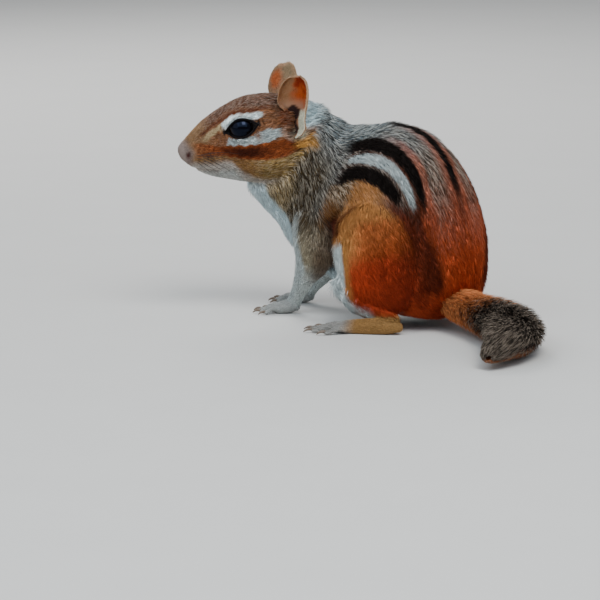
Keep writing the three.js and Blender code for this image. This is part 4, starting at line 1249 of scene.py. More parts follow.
def skin_colours(points, normals, shares):
    """Mixes the parts' colours by how much of each part a place is, and adds the eyes' black rims."""
    t, angle = in_blocks(trunk_places, points)
    local = haunch_places(points)
    behind, left, up = head_places(points)
    trunk, grizzle_trunk = trunk_colours(t, angle)
    head, grizzle_head = head_colours(behind, left, up)
    haunch = haunch_colours(local, points[:, 2])
    foreleg = foreleg_colours(points)
    forward = normals @ unit(np.array([0.3, -1, 0]))
    # Painted shade: the back of the foreleg, which faces away from the front, is darkened to brown.
    shaded_back_of_leg = ramp(forward, 0.1, -0.5) * span(points[:, 2], 9, 15, 24, 34)
    foreleg = mix(foreleg, FORELEG_SHADE, shaded_back_of_leg * 0.8)
    white_from = 0.22 - 0.2 * ramp(points[:, 2], 28, 16)
    foreleg = mix(foreleg, WHITE, ramp(forward, white_from, white_from + 0.3) * ramp(points[:, 2], 44, 36))
    grizzle_foreleg = 0.55 * ramp(points[:, 2], 18, 28) * ramp(forward, 0.6, 0.4)
    turned = [heading(PAWS["left_hind_foot"][1])[0], heading(PAWS["right_hind_foot"][1])[0]]
    along = np.where(
        points[:, 0] > 0,
        (points - [20, 14.5, 0]) @ turned[0],
        (points - [-20, 14.5, 0]) @ turned[1],
    )
    foot = mix(np.broadcast_to(FOOT, (len(points), 3)), TOE, ramp(along, 14, 20))
    forepaw = np.broadcast_to(mix(TOE, WHITE, np.array(0.25)), (len(points), 3))
    tail = np.broadcast_to(TAIL_BASE, (len(points), 3))
    away = np.linalg.norm(local, axis=1)
    # Painted shade in the fold where the haunch presses on the flank, over dark rufous: the trunk is painted
    # dark along it.
    fold = band(away, 1.1, 0.17, 0.1) * ramp(local[:, 1], -0.4, -0.6) * ramp(local[:, 2], 0.74, 0.58)
    fold *= ramp(local[:, 2], -0.3, 0.0) * ramp(local[:, 0], -0.3, 0.0)
    trunk = mix(trunk, CREASE_RUFOUS_AND_SHADE, fold)
    grizzle_trunk = grizzle_trunk * (1 - fold)
    parts = [trunk, head, haunch, foreleg, forepaw, foot, tail]
    total = np.maximum(sum(shares), 1e-6)
    colour = sum(c * s[:, None] for c, s in zip(parts, shares)) / total[:, None]
    ragged = 0.5 * wobble(points, 2.6, 45)
    golden = span(behind + ragged, 37, 40, 44.5, 47) * band(up + ragged, -6.7, 2.4, 1.2)
    golden *= (shares[0] + shares[1]) * ramp(np.abs(left), 4, 7)
    colour = mix(colour, YELLOW_OCHRE, golden * 0.95)
    under_lobe = blob(behind, 40.9, 1.9, up, -3.4, 1.5) * ramp(np.abs(left), 4, 7)
    colour = mix(colour, EAR_LOBE * 0.9, np.clip(under_lobe * 1.5, 0, 0.9) * (shares[0] + shares[1]))
    spot = blob(behind, 40.6, 2.3, up, -8.6, 0.9)
    spot = np.maximum(spot, 0.8 * blob(behind, 44.2, 0.9, up, -3.6, 0.7))
    spot = np.maximum(spot, 0.8 * blob(behind, 44.6, 0.8, up, -6.4, 0.8))
    colour = mix(colour, BLACK, spot * 0.85 * (shares[0] + shares[1]))
    grizzle = (grizzle_trunk * shares[0] + grizzle_head * shares[1] + grizzle_foreleg * shares[3]) / total
    grizzle = grizzle * (1 - 0.6 * golden)
    return eye_colours(colour, points), np.clip(grizzle, 0, 1)


shares = [SHARE[part] for part in PARTS]
skin_colour = skin_colours(skin_points, skin_normals, shares)[0]
print("mean skin colour:", skin_colour.mean(0).round(3))

# %% [markdown]
# ## Materials
#
# Fur is rough and matt, with a fine change of tone from hair to hair. The tone comes from a small group
# of nodes that several materials share: it takes a colour and a scale, and gives back the colour made
# lighter and darker in fine flecks, with a height for bump. Wet eyes and horn are smooth instead.

# %% A shared group: flecks of lighter and darker hair
def flecks_group():
    """Colour times (1 + amount * (noise - 0.5)), where the noise is fine and reads Object coordinates."""
    group = bpy.data.node_groups.new("hair_flecks", "ShaderNodeTree")
    for label, way, kind in [
        ("Colour", "INPUT", "Color"),
        ("Amount", "INPUT", "Float"),
        ("Scale", "INPUT", "Float"),
        ("Colour", "OUTPUT", "Color"),
        ("Height", "OUTPUT", "Float"),
    ]:
        group.interface.new_socket(label, in_out=way, socket_type="NodeSocket" + kind)
    nodes, links = group.nodes, group.links
    given, out = nodes.new("NodeGroupInput"), nodes.new("NodeGroupOutput")
    where = nodes.new("ShaderNodeTexCoord")
    noise = nodes.new("ShaderNodeTexNoise")
    noise.inputs["Detail"].default_value = 4.0
    links.new(where.outputs["Object"], noise.inputs["Vector"])
    links.new(given.outputs["Scale"], noise.inputs["Scale"])
    centred = nodes.new("ShaderNodeMath")
    centred.operation = "SUBTRACT"
    centred.inputs[1].default_value = 0.5
    links.new(noise.outputs["Fac"], centred.inputs[0])
    times = nodes.new("ShaderNodeMath")
    times.operation = "MULTIPLY_ADD"
    times.inputs[2].default_value = 1.0
    links.new(centred.outputs[0], times.inputs[0])
    links.new(given.outputs["Amount"], times.inputs[1])
    toned = nodes.new("ShaderNodeVectorMath")
    toned.operation = "SCALE"
    links.new(given.outputs["Colour"], toned.inputs[0])
    links.new(times.outputs[0], toned.inputs["Scale"])
    links.new(toned.outputs[0], out.inputs["Colour"])
    links.new(noise.outputs["Fac"], out.inputs["Height"])
    return group


FLECKS = flecks_group()


def material(name, attribute=None, colour=(0.5, 0.5, 0.5), roughness=0.6, amount=0.3, scale=900.0, bump=0.0,
             specular=0.3, subsurface=0.0):
    """A Principled surface whose colour, from an attribute or one plain tone, goes through the flecks."""
    made = bpy.data.materials.new(name)
    made.use_nodes = True
    nodes, links = made.node_tree.nodes, made.node_tree.links
    surface = nodes["Principled BSDF"]
    for label, value in {
        "Roughness": roughness,
        "Specular IOR Level": specular,
        "Subsurface Weight": subsurface,
        "Subsurface Radius": (1.0, 0.35, 0.15),
        "Subsurface Scale": 0.0015,
    }.items():
        surface.inputs[label].default_value = value
    flecks = nodes.new("ShaderNodeGroup")
    flecks.node_tree = FLECKS
    flecks.inputs["Amount"].default_value = amount
    flecks.inputs["Scale"].default_value = scale
    if attribute:
        source = nodes.new("ShaderNodeAttribute")
        source.attribute_name = attribute
        links.new(source.outputs["Color"], flecks.inputs["Colour"])
    else:
        flecks.inputs["Colour"].default_value = (*colour, 1)
    links.new(flecks.outputs["Colour"], surface.inputs["Base Color"])
    if bump:
        raised = nodes.new("ShaderNodeBump")
        raised.inputs["Strength"].default_value = bump
        raised.inputs["Distance"].default_value = 0.0002
        links.new(flecks.outputs["Height"], raised.inputs["Height"])
        links.new(raised.outputs["Normal"], surface.inputs["Normal"])
    return made


SKIN_FINISH = material("short fur and bare skin", "coat", roughness=0.72, amount=0.5, scale=1600, bump=0.5,
                       specular=0.15)
FUR_FINISH = material("fur", "coat", roughness=0.66, amount=0.25, scale=1200, specular=0.1)
EAR_FINISH = material("thin ear skin", "coat", roughness=0.6, amount=0.25, scale=1100, bump=0.2,
                      specular=0.12, subsurface=0.2)
LID_FINISH = material("dark moist lid", colour=(0.004, 0.0025, 0.0025), roughness=0.45, amount=0.4,
                      scale=1500, bump=0.2, specular=0.08)
EYE_FINISH = material("wet black eye", colour=(0.001, 0.0008, 0.001), roughness=0.05, amount=0.2, scale=300,
                      specular=0.2)
EYE_FINISH.node_tree.nodes["Principled BSDF"].inputs["Specular Tint"].default_value = (0.42, 0.55, 1.0, 1)
CLAW_FINISH = material("horn of the claws", colour=(0.16, 0.12, 0.09), roughness=0.35, amount=0.6, scale=900,
                       bump=0.1)
WHISKER_FINISH = material("whisker", colour=(0.03, 0.024, 0.02), roughness=0.4, amount=0.3, scale=500)
print("materials:", len(bpy.data.materials))

# %% The skin becomes a piece
IN_SHADE = 0.8  # the skin lies in the shade of the tufts that stand on it
skin = mesh_object("skin", skin_points, [skin_quads])
paint(skin, "coat", skin_colour * IN_SHADE)
skin.data.materials.append(SKIN_FINISH)
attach(skin, BODY)
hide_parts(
    "torso", "neck", "head", "left_thigh", "right_thigh", "left_foreleg", "right_foreleg",
    "left_forepaw", "right_forepaw", "left_hind_foot", "right_hind_foot",
)
print("skin triangles:", triangles(skin))


# %% Eyeballs and rolled lids
def ball_shape(centre, radius, stations=36, around=48):
    """Centre + radius * unit sphere, as rings and two poles."""
    theta = np.linspace(0, np.pi, stations + 2)[1:-1]
    turn = np.linspace(0, 2 * np.pi, around, endpoint=False)
    theta, turn = np.meshgrid(theta, turn, indexing="ij")
    ball = np.stack([np.sin(theta) * np.cos(turn), np.sin(theta) * np.sin(turn), np.cos(theta)], -1)
    return centre + radius * ball, [centre + [0, 0, radius], centre - [0, 0, radius]]


def closed_tube(path, across, up, size):
    """A ring-shaped tube: path + across * size cos v + up * size sin v, joined end to start."""
    around, round_ = len(path), 12
    v = np.linspace(0, 2 * np.pi, round_, endpoint=False)
    rings = (
        path[:, None]
        + across[:, None] * (size[:, None] * np.cos(v))[..., None]
        + up[:, None] * (size[:, None] * np.sin(v))[..., None]
    )
    grid = np.arange(around * round_).reshape(around, round_)
    ahead, beside = np.roll(grid, -1, 0), np.roll(grid, -1, 1)
    both = np.roll(ahead, -1, 1)
    quads = np.stack([grid, beside, both, ahead], -1).reshape(-1, 4)
    return outward(rings.reshape(-1, 3), [quads])


def lid_shape(side):
    """A fine roll along the almond's edge. Its height over the eye's centre is the fourth-power mean of
    the ball's and the face's, so it hugs the ball and runs out onto the face in the corners."""
    centre, look, level, over = eye_axes(side)
    turn = np.linspace(0, 2 * np.pi, 96, endpoint=False)
    x = OPENING[0] * np.cos(turn)
    y = OPENING[1] * np.sin(turn) * np.abs(np.sin(turn)) ** 1.6
    sphere = np.sqrt(np.maximum((EYE_RADIUS + 0.15) ** 2 - x**2 - y**2, 0))
    face = FACE_AT_EYE + FACE_SLOPE * x - 0.35
    z = (sphere**4 + face**4) ** 0.25
    path = centre + np.stack([x, y, z], -1) @ np.stack([level, over, look])
    along = unit(np.roll(path, -1, 0) - np.roll(path, 1, 0))
    out = unit(path - centre)
    across = unit(np.cross(along, out))
    size = 0.4 - 0.12 * np.abs(np.cos(turn)) ** 6
    return closed_tube(path, across, np.cross(across, along), size)


for name, side in SIDES.items():
    eye = mesh_object(f"{name}_eyeball", *loft(*ball_shape(eye_axes(side)[0], EYE_RADIUS)))
    eye.data.materials.append(EYE_FINISH)
    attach(eye, BODY)
    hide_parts(f"{name}_eye")
    lid = mesh_object(f"{name}_lids", *lid_shape(side))
    lid.data.materials.append(LID_FINISH)
    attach(lid, BODY)
print("eyes set", EYE_RADIUS * 2, "mm across")

# %% Ears stand in their hollows
for name in SIDES:
    rings, poles, colours = ear_shape(name)
    ear = mesh_object(f"{name}_ear_cup", *loft(rings, poles))
    paint(ear, "coat", colours)
    ear.data.materials.append(EAR_FINISH)
    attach(ear, BODY)
    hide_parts(f"{name}_ear")
print("ear triangles:", triangles(ear))

# %% [markdown]
# ## Claws
#
# Each toe ends in a small hooked claw of dark horn. The claws are a piece of their own because horn is
# smooth where fur is not, and because a claw keeps its sharp point only outside the remesh.

# %% Claws on every toe
claws = mesh_object(
    "claws",
    *joined([loft(*claw_shape(*toe)[:2]) for name in PAWS for toe in toe_list(name)]),
)
claws.data.materials.append(CLAW_FINISH)
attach(claws, BODY)
print("claw triangles:", triangles(claws))

# %% [markdown]
# ## The coat
#
# Real fur is thousands of hairs that lie over one another like thatch. Here a tuft of a few hairs is
# one tiny closed spindle: a point sunk in the skin, a three-sided waist and a point at the tip, six
# faces in all. A tuft leaves the skin at a low angle and bends with it. The skin's own curve along the
# lie of the hair, kappa, is measured first, and the tuft follows a circle of that curve.

# %% How the skin curves along the lie of the hair
def lie_on_skin(field, normals):
    """The field with its part along the normal taken away."""
    return unit(field - normals * (field * normals).sum(1, keepdims=True))


def push_round_eyes(field, points):
    """Hair next to an eye turns to run along the opening and away from it."""
    for side in SIDES.values():
        _, _, level, over = eye_axes(side)
        x, y, z = eye_places(points, side)
        edge = np.where(z > -2, outside_eye(x, y), 9)
        away = unit(level * (x / 1.6)[:, None] + over * y[:, None])
        field = field + away * (1.3 * ramp(edge, 3.2, 0.2))[:, None] * (x > -3)[:, None]
    return field


lie = lie_on_skin(push_round_eyes(lie, skin_points), skin_normals)
lie = lie_on_skin(smoothed(lie, 4), skin_normals)
a, b = edges[:, 0], edges[:, 1]
step = skin_points[b] - skin_points[a]
turned = skin_normals[b] - skin_normals[a]
over, under = np.zeros(count), np.zeros(count)
for end in (a, b):
    along = (step * lie[end]).sum(1)
    over += np.bincount(end, (turned * lie[end]).sum(1) * along, minlength=count)
    under += np.bincount(end, along**2, minlength=count)
kappa = smoothed((over / np.maximum(under, 1e-9))[:, None], 8)[:, 0]
print("curve along the hair, per mm:", np.percentile(kappa, [5, 50, 95]).round(3))

# %% Length, width, depth and number of tufts over the body
behind, left, up = head_places(skin_points)
head_s = np.interp(behind, [row[0] for row in HEAD], np.linspace(0, 1, len(HEAD)))


def by_part(**values):
    """Mixes one value per part by the shares of the parts. A value may be a number or an array."""
    total = sum(SHARE[part] * value for part, value in values.items())
    return total / np.maximum(sum(SHARE[part] for part in values), 1e-6)


face_length = np.interp(behind, [1, 4, 8, 14, 22, 32, 42], [0.5, 0.8, 1.1, 1.5, 2.0, 3.0, 4.4])
leg_length = np.interp(skin_points[:, 2], [2, 6, 14, 24, 34], [0.9, 1.4, 2.4, 4.0, 5.0])
nape = ramp(behind, 38, 42) * ramp(up, 1, 4)
tuft_length = by_part(
    trunk=through([[4.4], [5.6], [6.2], [6.2], [5.8], [5.0], [4.2]], trunk_t)[:, 0],
    head=face_length,
    haunch=np.interp(skin_points[:, 2], [4, 7, 10, 16, 30], [1.6, 3.6, 5.0, 5.6, 5.8]),
    foreleg=leg_length,
    forepaw=0.8,
    hind_foot=1.1,
    tail=5.5,
)
tuft_depth = by_part(
    trunk=through(np.array(TRUNK_DEPTH)[:, None], trunk_t)[:, 0],
    head=through(np.array(HEAD_DEPTH)[:, None], head_s)[:, 0] * (0.95 + 0.9 * nape),
    haunch=np.interp(skin_points[:, 2], [4, 8, 16], [0.5, 1.3, 2.0]),
    foreleg=np.interp(skin_points[:, 2], [2, 6, 14, 24, 34], [0.25, 0.35, 0.8, 1.3, 1.6]),
    forepaw=0.2,
    hind_foot=0.25,
    tail=1.6,
)
tuft_width = by_part(
    trunk=0.33,
    head=np.interp(behind, [2, 10, 25, 42], [0.14, 0.21, 0.26, 0.32]),
    haunch=0.33,
    foreleg=np.interp(skin_points[:, 2], [4, 14, 30], [0.18, 0.23, 0.3]),
    forepaw=0.15,
    hind_foot=0.18,
    tail=0.34,
)
tuft_number = by_part(
    trunk=np.interp(trunk_t, [0, 0.1, 0.9, 1], [6, 8, 8, 4]),
    head=np.interp(behind, [2, 10, 25, 42], [22, 18, 13, 9]),
    haunch=8.0,
    foreleg=np.interp(skin_points[:, 2], [4, 14, 30], [12, 11, 8]),
    forepaw=7,
    hind_foot=8,
    tail=6,
)
print("fur lies from", round(float(tuft_depth.min()), 1), "to", round(float(tuft_depth.max()), 1), "mm deep")

# %% Roots spread evenly over the skin
tris = np.concatenate([skin_quads[:, [0, 1, 2]], skin_quads[:, [0, 2, 3]]])
tris = tris[np.argsort(np.arange(len(tris)) % len(skin_quads), kind="stable")]
corner = skin_points[tris]
area = 0.5 * np.linalg.norm(np.cross(corner[:, 1] - corner[:, 0], corner[:, 2] - corner[:, 0]), axis=1)
number = tuft_number[tris].mean(1)
middle = corner.mean(1)
bare = np.zeros(len(tris))
for side in SIDES.values():
    x, y, z = eye_places(middle, side)
    bare = np.maximum(bare, ((z > -1.5) & (outside_eye(x, y) < 0.55) & (np.hypot(x, y) < 9)).astype(float))
nose_bare = ramp(head_places(middle)[0], 2.2, 1.4) * SHARE["head"][tris].mean(1)
bare = np.maximum(bare, ear_hollow[tris].max(1))
soles = ramp(middle[:, 2], 1.4, 0.7)
toes_bare = (SHARE["hind_foot"] + SHARE["forepaw"])[tris].mean(1) * ramp(middle[:, 2], 1.6, 0.9)
deep_in_tail = SHARE["tail"][tris].mean(1) * ramp(middle[:, 1], 26, 32)
wanted = area * number * (1 - bare)
for hairless in (nose_bare, soles, toes_bare, deep_in_tail):
    wanted = wanted * (1 - hairless)
QUICK_SHARE = 1.0
total = int(wanted.sum() * QUICK_SHARE)
running = np.cumsum(wanted)
draw = (np.arange(total) + NUMBERS.random(total)) / total * running[-1]
face_of = np.minimum(np.searchsorted(running, draw), len(tris) - 1)
u, v = NUMBERS.random(total), NUMBERS.random(total)
flip = u + v > 1
u, v = np.where(flip, 1 - u, u), np.where(flip, 1 - v, v)
weights = np.stack([1 - u - v, u, v], 1)


def at_roots(values):
    """Values at the skin's vertices, read off at the roots by their weights in the triangle."""
    picked = values[tris[face_of]]
    return (picked * (weights if picked.ndim == 2 else weights[..., None])).sum(1)


roots = at_roots(skin_points)
root_normals = unit(at_roots(skin_normals))
root_shares = [at_roots(s) for s in shares]
root_t, root_angle = in_blocks(trunk_places, roots)
print("tufts:", total, "on", round(float(area.sum())), "square mm of skin")


# %% From roots to tufts
def along_arc(start, normal, lie, kappa, s):
    """Point and normal after s mm along a circle of curve kappa that touches the skin at start:
    start + lie sin(ks)/k - normal (1 - cos(ks))/k."""
    k = np.where(np.abs(kappa) < 1e-4, 1e-4, kappa)
    angle = k * s
    c, n = np.cos(angle)[:, None], np.sin(angle)[:, None]
    point = start + lie * n / k[:, None] - normal * (1 - c) / k[:, None]
    return point, normal * c + lie * n, lie * c - normal * n


WAIST_AT = 0.42  # share of a tuft's length at which it is widest


def tuft_shapes(start, normal, lie, kappa, length, width, depth):
    """Spindles of one root point, three waist points and one tip, five points in all for each tuft.
    The root sinks 0.25 mm, the waist stands at 0.62 of the depth and the tip at all of it."""
    across = np.cross(normal, lie)
    mid, mid_normal, _ = along_arc(start, normal, lie, kappa, length * WAIST_AT)
    end, end_normal, _ = along_arc(start, normal, lie, kappa, length)
    mid = mid + mid_normal * (depth * 0.62)[:, None]
    end = end + end_normal * depth[:, None]
    root = start - normal * 0.25
    half = across * (width / 2)[:, None]
    top = mid + mid_normal * (width * 0.42)[:, None]
    low = mid - mid_normal * (width * 0.12)[:, None]
    return np.stack([root, low + half, top, low - half, end], 1)


def ear_hair(name, number, inner):
    """Short tufts on one face of an ear. Two small steps over the wall give the lie of the hair, up and
    backwards, and the normal, which is turned to point away from the other face."""
    share, across = NUMBERS.uniform(0.02, 0.985, number), NUMBERS.uniform(-0.97, 0.97, number)
    if inner:
        lobe, margins = ramp(share, 0.42, 0.34) * ramp(across, 0.25, 0.4), ramp(np.abs(across), 0.8, 0.95)
        keep = NUMBERS.random(number) < np.maximum(np.maximum(lobe, margins), 0.1 * (share > 0.52))
        share, across = share[keep], across[keep]
    start = ear_wall(name, share, across, inner)
    higher = ear_wall(name, share + 0.01, across, inner) - start
    beside = ear_wall(name, share, across + 0.01, inner) - start
    outward_way = ear_wall(name, share, across, not inner) - start
    normal = unit(np.cross(higher, beside))
    normal = normal * -np.sign((normal * outward_way).sum(1, keepdims=True))
    way = unit(unit(higher) + unit(beside) * (0.45 + 0.3 * NUMBERS.normal(size=len(share)))[:, None])
    n = len(share)
    size = NUMBERS.uniform(0.8, 1.5, n) * (0.9 if inner else 1)
    shapes = tuft_shapes(start, normal, way, np.full(n, 0.03), size, NUMBERS.uniform(0.09, 0.17, n),
                         NUMBERS.uniform(0.1, 0.3, n))
    colour = ear_colours(share, across, np.full(n, inner), 0.12 * wobble(start, 4, 21))
    colour = colour * NUMBERS.uniform(0.75, 1.35, n)[:, None]
    shade = np.array([0.6, 1.0, 1.05, 1.0, 1.2])
    return shapes, colour[:, None] * shade[None, :, None], np.stack([across, share], 1)


TUFT_FACES = np.array([[0, 2, 1], [0, 3, 2], [0, 1, 3], [4, 1, 2], [4, 2, 3], [4, 3, 1]])

root_lie = lie_on_skin(at_roots(lie), root_normals)
across = np.cross(root_normals, root_lie)
stray = 0.16 * wobble(roots, 7, 3) + 0.10 * wobble(roots, 2.6, 4) + NUMBERS.normal(0, 0.11, total)
root_lie = unit(root_lie + across * stray[:, None])
root_kappa = np.clip(at_roots(kappa), -0.09, 0.22)
length = at_roots(tuft_length) * NUMBERS.uniform(0.75, 1.2, total)
width = at_roots(tuft_width) * NUMBERS.uniform(0.7, 1.25, total)
depth = at_roots(tuft_depth) * (1 + 0.1 * wobble(roots, 4.2, 5)) * NUMBERS.uniform(0.6, 1.04, total)
spindles = tuft_shapes(roots, root_normals, root_lie, root_kappa, length, width, depth)
spindles[..., 2] = np.maximum(spindles[..., 2], 0.05)
print("tuft length in mm:", length.min().round(2), "to", length.max().round(2))

# %% [markdown]
# A tuft grows in one place and shows its colour in another, a few millimetres further along. So that
# the stripes end where they should, each tuft takes its colour from the place where it shows.

# %% Where each tuft shows
SHOWN_AT, SHOWN_UP = 0.66, 0.7  # shares of a tuft's length and of its depth
shown, shown_normals, _ = along_arc(roots, root_normals, root_lie, root_kappa, length * SHOWN_AT)
shown = shown + shown_normals * (depth * SHOWN_UP)[:, None]
root_colour, root_grizzle = skin_colours(shown, shown_normals, root_shares)
print("mean colour of the coat:", root_colour.mean(0).round(3))

# %% Colours of the tufts
PALE_TIP = np.array([0.62, 0.58, 0.5])
DARK_TIP = np.array([0.03, 0.022, 0.016])
PALE_ONES, DARK_ONES = 0.42, 0.34  # shares of the tufts where the coat is grizzled
kind = NUMBERS.random(total)
uneven = 1 + 0.7 * root_shares[PARTS.index("head")] - 0.6 * root_shares[PARTS.index("haunch")]
tone = NUMBERS.uniform(0.74, 1.24, total) ** uneven * (1 + 0.12 * wobble(roots, 5, 6))
waist_colour = root_colour * tone[:, None]
tip_colour = root_colour * (tone * 1.12)[:, None]
pale_one = root_grizzle * (kind < PALE_ONES)
dark_one = root_grizzle * (kind > 1 - DARK_ONES)
pale_here = mix(root_colour * 1.9, PALE_TIP, np.array(0.5))
waist_colour = mix(waist_colour, pale_here * 0.8, pale_one * 0.75)
tip_colour = mix(tip_colour, pale_here * 1.1, pale_one * 0.9)
waist_colour = mix(waist_colour, DARK_TIP, dark_one * 0.75)
tip_colour = mix(tip_colour, DARK_TIP, dark_one * 0.9)
base_colour = root_colour * 0.42
# The top of each tuft's waist is 5% lighter: a painted highlight.
tuft_colours = np.stack([base_colour, waist_colour, waist_colour * 1.05, waist_colour, tip_colour], 1)
print("mean colour of the tips:", tip_colour.mean(0).round(3))


# %% [markdown]
# The coat is cut into pieces that stay light enough to handle. Each piece also gets a flat map of the
# body under it, named OFBake, on which every tuft is a tiny patch at the place of its root. The trunk is
# unrolled along its length, the head round its axis, a haunch like the peel of an egg.

# %% Coat pieces with their maps
def unrolled(place):
    """Shifts and scales map places into the square from 0.01 to 0.99."""
    low, high = place.min(0), place.max(0)
    return 0.01 + 0.98 * (place - low) / np.maximum(high - low, 1e-9)


PATCH = np.array([[0, -0.5], [0.5, 0], [0, 0.15], [-0.5, 0], [0, 0.5]]) * 0.003


def repeated(faces, n):
    """The faces of one shape, n times over, each time counted from the next shape's first point."""
    return (faces[None] + (faces.max() + 1) * np.arange(n)[:, None, None]).reshape(-1, 3)


def lay_map(made, faces, place, patch):
    """Writes the OFBake map: one small patch at the unrolled place of each shape."""
    uv = (unrolled(place)[:, None] + patch[None]).reshape(-1, 2)
    layer = made.data.uv_layers.new(name="OFBake")
    layer.data.foreach_set("uv", np.clip(uv[faces.ravel()], 0, 1).astype(np.float32).ravel())


def tufts_piece(name, shapes, colours, place):
    """Joins tufts into one piece, with their colours and the OFBake map."""
    n = len(shapes)
    faces = repeated(TUFT_FACES, n)
    made = mesh_object(name, shapes.reshape(-1, 3), [faces])
    paint(made, "coat", colours.reshape(-1, 3))
    lay_map(made, faces, place, PATCH)
    made.data.materials.append(FUR_FINISH)
    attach(made, BODY)
    print(f"{name}: {n} tufts, {6 * n} triangles")
    return made


OUTSIDE_TUFTS, INSIDE_TUFTS = 3400, 5200  # drawn for each ear, before the bare places are left out
for name in SIDES:
    outside, inside = ear_hair(name, OUTSIDE_TUFTS, False), ear_hair(name, INSIDE_TUFTS, True)
    inside[2][:, 0] += 2.2  # so the inside lies beside the outside on the map
    hair, hair_colours, place = (np.concatenate(both) for both in zip(outside, inside))
    tufts_piece(f"ear_hair_{name}", hair, hair_colours, place)

root_part = np.argmax(np.stack(root_shares, 1), 1)
root_behind, root_left, root_up = head_places(roots)
off = np.abs(root_angle)
sided = {"left": roots[:, 0] > 0, "right": roots[:, 0] <= 0}
head_sided = {"left": root_left > 0, "right": root_left <= 0}
is_part = {part: root_part == k for k, part in enumerate(PARTS)}
trunk_map = np.stack([root_angle, root_t * 300], 1)
head_map = np.stack([np.degrees(np.arctan2(root_left, root_up + 2.5)), root_behind * 6], 1)
egg = unit(haunch_places(roots))
peel = np.arccos(np.clip(egg[:, 0], -1, 1))
haunch_map = np.stack([peel * egg[:, 1], peel * egg[:, 2]], 1) / np.maximum(np.sin(peel), 0.05)[:, None]
limb_turn = np.degrees(np.arctan2(roots[:, 0] - np.sign(roots[:, 0]) * 12, roots[:, 1] + 35))
limb_map = np.stack([limb_turn + 400 * (roots[:, 0] > 3), roots[:, 2] * 8], 1)
foot_map = np.stack([roots[:, 0] + root_normals[:, 0] * 2, roots[:, 1] + root_normals[:, 1] * 2], 1)
plans = []
on_back, on_body, on_crown = off < 64, root_t < 0.62, root_up >= 3
for name in SIDES:
    trunk, head = is_part["trunk"] & sided[name], is_part["head"] & head_sided[name]
    plans += [
        (f"coat_back_{name}", trunk & on_back & on_body, trunk_map, "back_fur"),
        (f"coat_flank_{name}", trunk & ~on_back & on_body, trunk_map, "rufous_fur"),
        (f"coat_neck_{name}", trunk & ~on_body, trunk_map, "back_fur"),
        (f"coat_haunch_{name}", is_part["haunch"] & sided[name], haunch_map, "rufous_fur"),
        (f"coat_cheek_{name}", head & ~on_crown, head_map, "back_fur"),
        (f"coat_crown_{name}", head & on_crown, head_map, "back_fur"),
    ]
plans += [
    ("coat_forelegs", is_part["foreleg"], limb_map, "back_fur"),
    ("coat_feet", is_part["forepaw"] | is_part["hind_foot"], foot_map, "foot_skin"),
    ("coat_tail_root", is_part["tail"], np.stack([limb_turn, roots[:, 1] * 8], 1), "tail_fur"),
]
for name, mask, place, slot in plans:
    chosen = np.flatnonzero(mask)
    if len(chosen):
        tufts_piece(name, spindles[chosen], tuft_colours[chosen], place[chosen])

# %% [markdown]
# ## The brush of the tail
#
# The long hairs stand off the core at a slant and bend back along the tail, so the brush is widest past
# its middle and frays out at the tip. Each is rusty at the root and then dark, and half of them have a
# frosted end, which gives the tail its pale edge. They need more stations than short fur, because they
# bend more.

# %% Long hairs
TAIL_HAIRS = int(23000 * QUICK_SHARE)
TAIL_PIECES = 3
FREE_SIDE, SOFT_SIDE = 45.6, 2.2  # past so many mm to the left the hairs bend in, within so many more
LONG_FACES = []
for ring in range(2):
    for k in range(3):
        p, q = 1 + 3 * ring + k, 1 + 3 * ring + (k + 1) % 3
        LONG_FACES += [[p, p + 3, q], [q, p + 3, q + 3]]
LONG_FACES += [[0, 1 + k, 1 + (k + 1) % 3] for k in range(3)]
LONG_FACES += [[7 + (k + 1) % 3, 7 + k, 10] for k in range(3)]
LONG_FACES = np.array(LONG_FACES)
LONG_PATCH = [[0, -0.5], [0.5, -0.2], [0, -0.1], [-0.5, -0.2], [0.4, 0.1], [0, 0.15], [-0.4, 0.1]]
LONG_PATCH = np.array(LONG_PATCH + [[0.25, 0.3], [0, 0.32], [-0.25, 0.3], [0, 0.5]]) * 0.003
RUSTY = np.array([0.34, 0.13, 0.045])
BROWN_BLACK = np.array([0.035, 0.026, 0.02])
FROST = np.array([0.34, 0.27, 0.21])


def tail_hairs(n):
    """Five places along each hair, and where it stands along and round the tail. At a share f of its
    length a hair stands off by its full coat times (0.16 + 0.86 f^0.75), and lies further along the tail
    by f times its reach."""
    t0 = 0.03 + 0.93 * NUMBERS.random(n) ** 0.95
    turn = NUMBERS.random(n) * 2 * np.pi
    reach = NUMBERS.uniform(11, 18, n) * np.interp(t0, [0, 0.1, 0.3, 0.8, 1], [0.8, 0.85, 1.05, 0.9, 0.42])
    full = NUMBERS.uniform(0.35, 1.08, n) ** 0.6
    lock = np.stack([np.cos(turn) * 9, np.sin(turn) * 9, t0 * TAIL_LENGTH], 1)
    sway = NUMBERS.normal(0, 0.09, n) + 0.28 * wobble(lock, 8, 31)
    steps = np.array([0.0, 0.28, 0.55, 0.8, 1.0])
    t = np.minimum(t0[:, None] + steps * (reach / TAIL_LENGTH)[:, None], 1.035)
    past = np.maximum(t - 1, 0)
    place, along, across, up = tail_frame(np.minimum(t, 1))
    stand = full[:, None] * (0.16 + 0.86 * steps**0.75)
    size = through(np.array(TAIL_COAT)[:, None], np.clip(t, 0, 1))[..., 0] * (1 - 12 * past)
    angle = turn[:, None] + sway[:, None] * steps
    round_ = across * (np.cos(angle) * TAIL_WIDTH / 2)[..., None]
    round_ = round_ + up * (np.sin(angle) * TAIL_HEIGHT / 2)[..., None]
    path = place + round_ * (stand * size)[..., None] + along * (past * TAIL_LENGTH)[..., None]
    path[..., 2] = np.maximum(path[..., 2], 0.35 + 0.4 * NUMBERS.random(n)[:, None])
    over = np.maximum(path[..., 0] - FREE_SIDE, 0)
    path[..., 0] -= over - SOFT_SIDE * np.tanh(over / SOFT_SIDE)
    return path, t0, turn


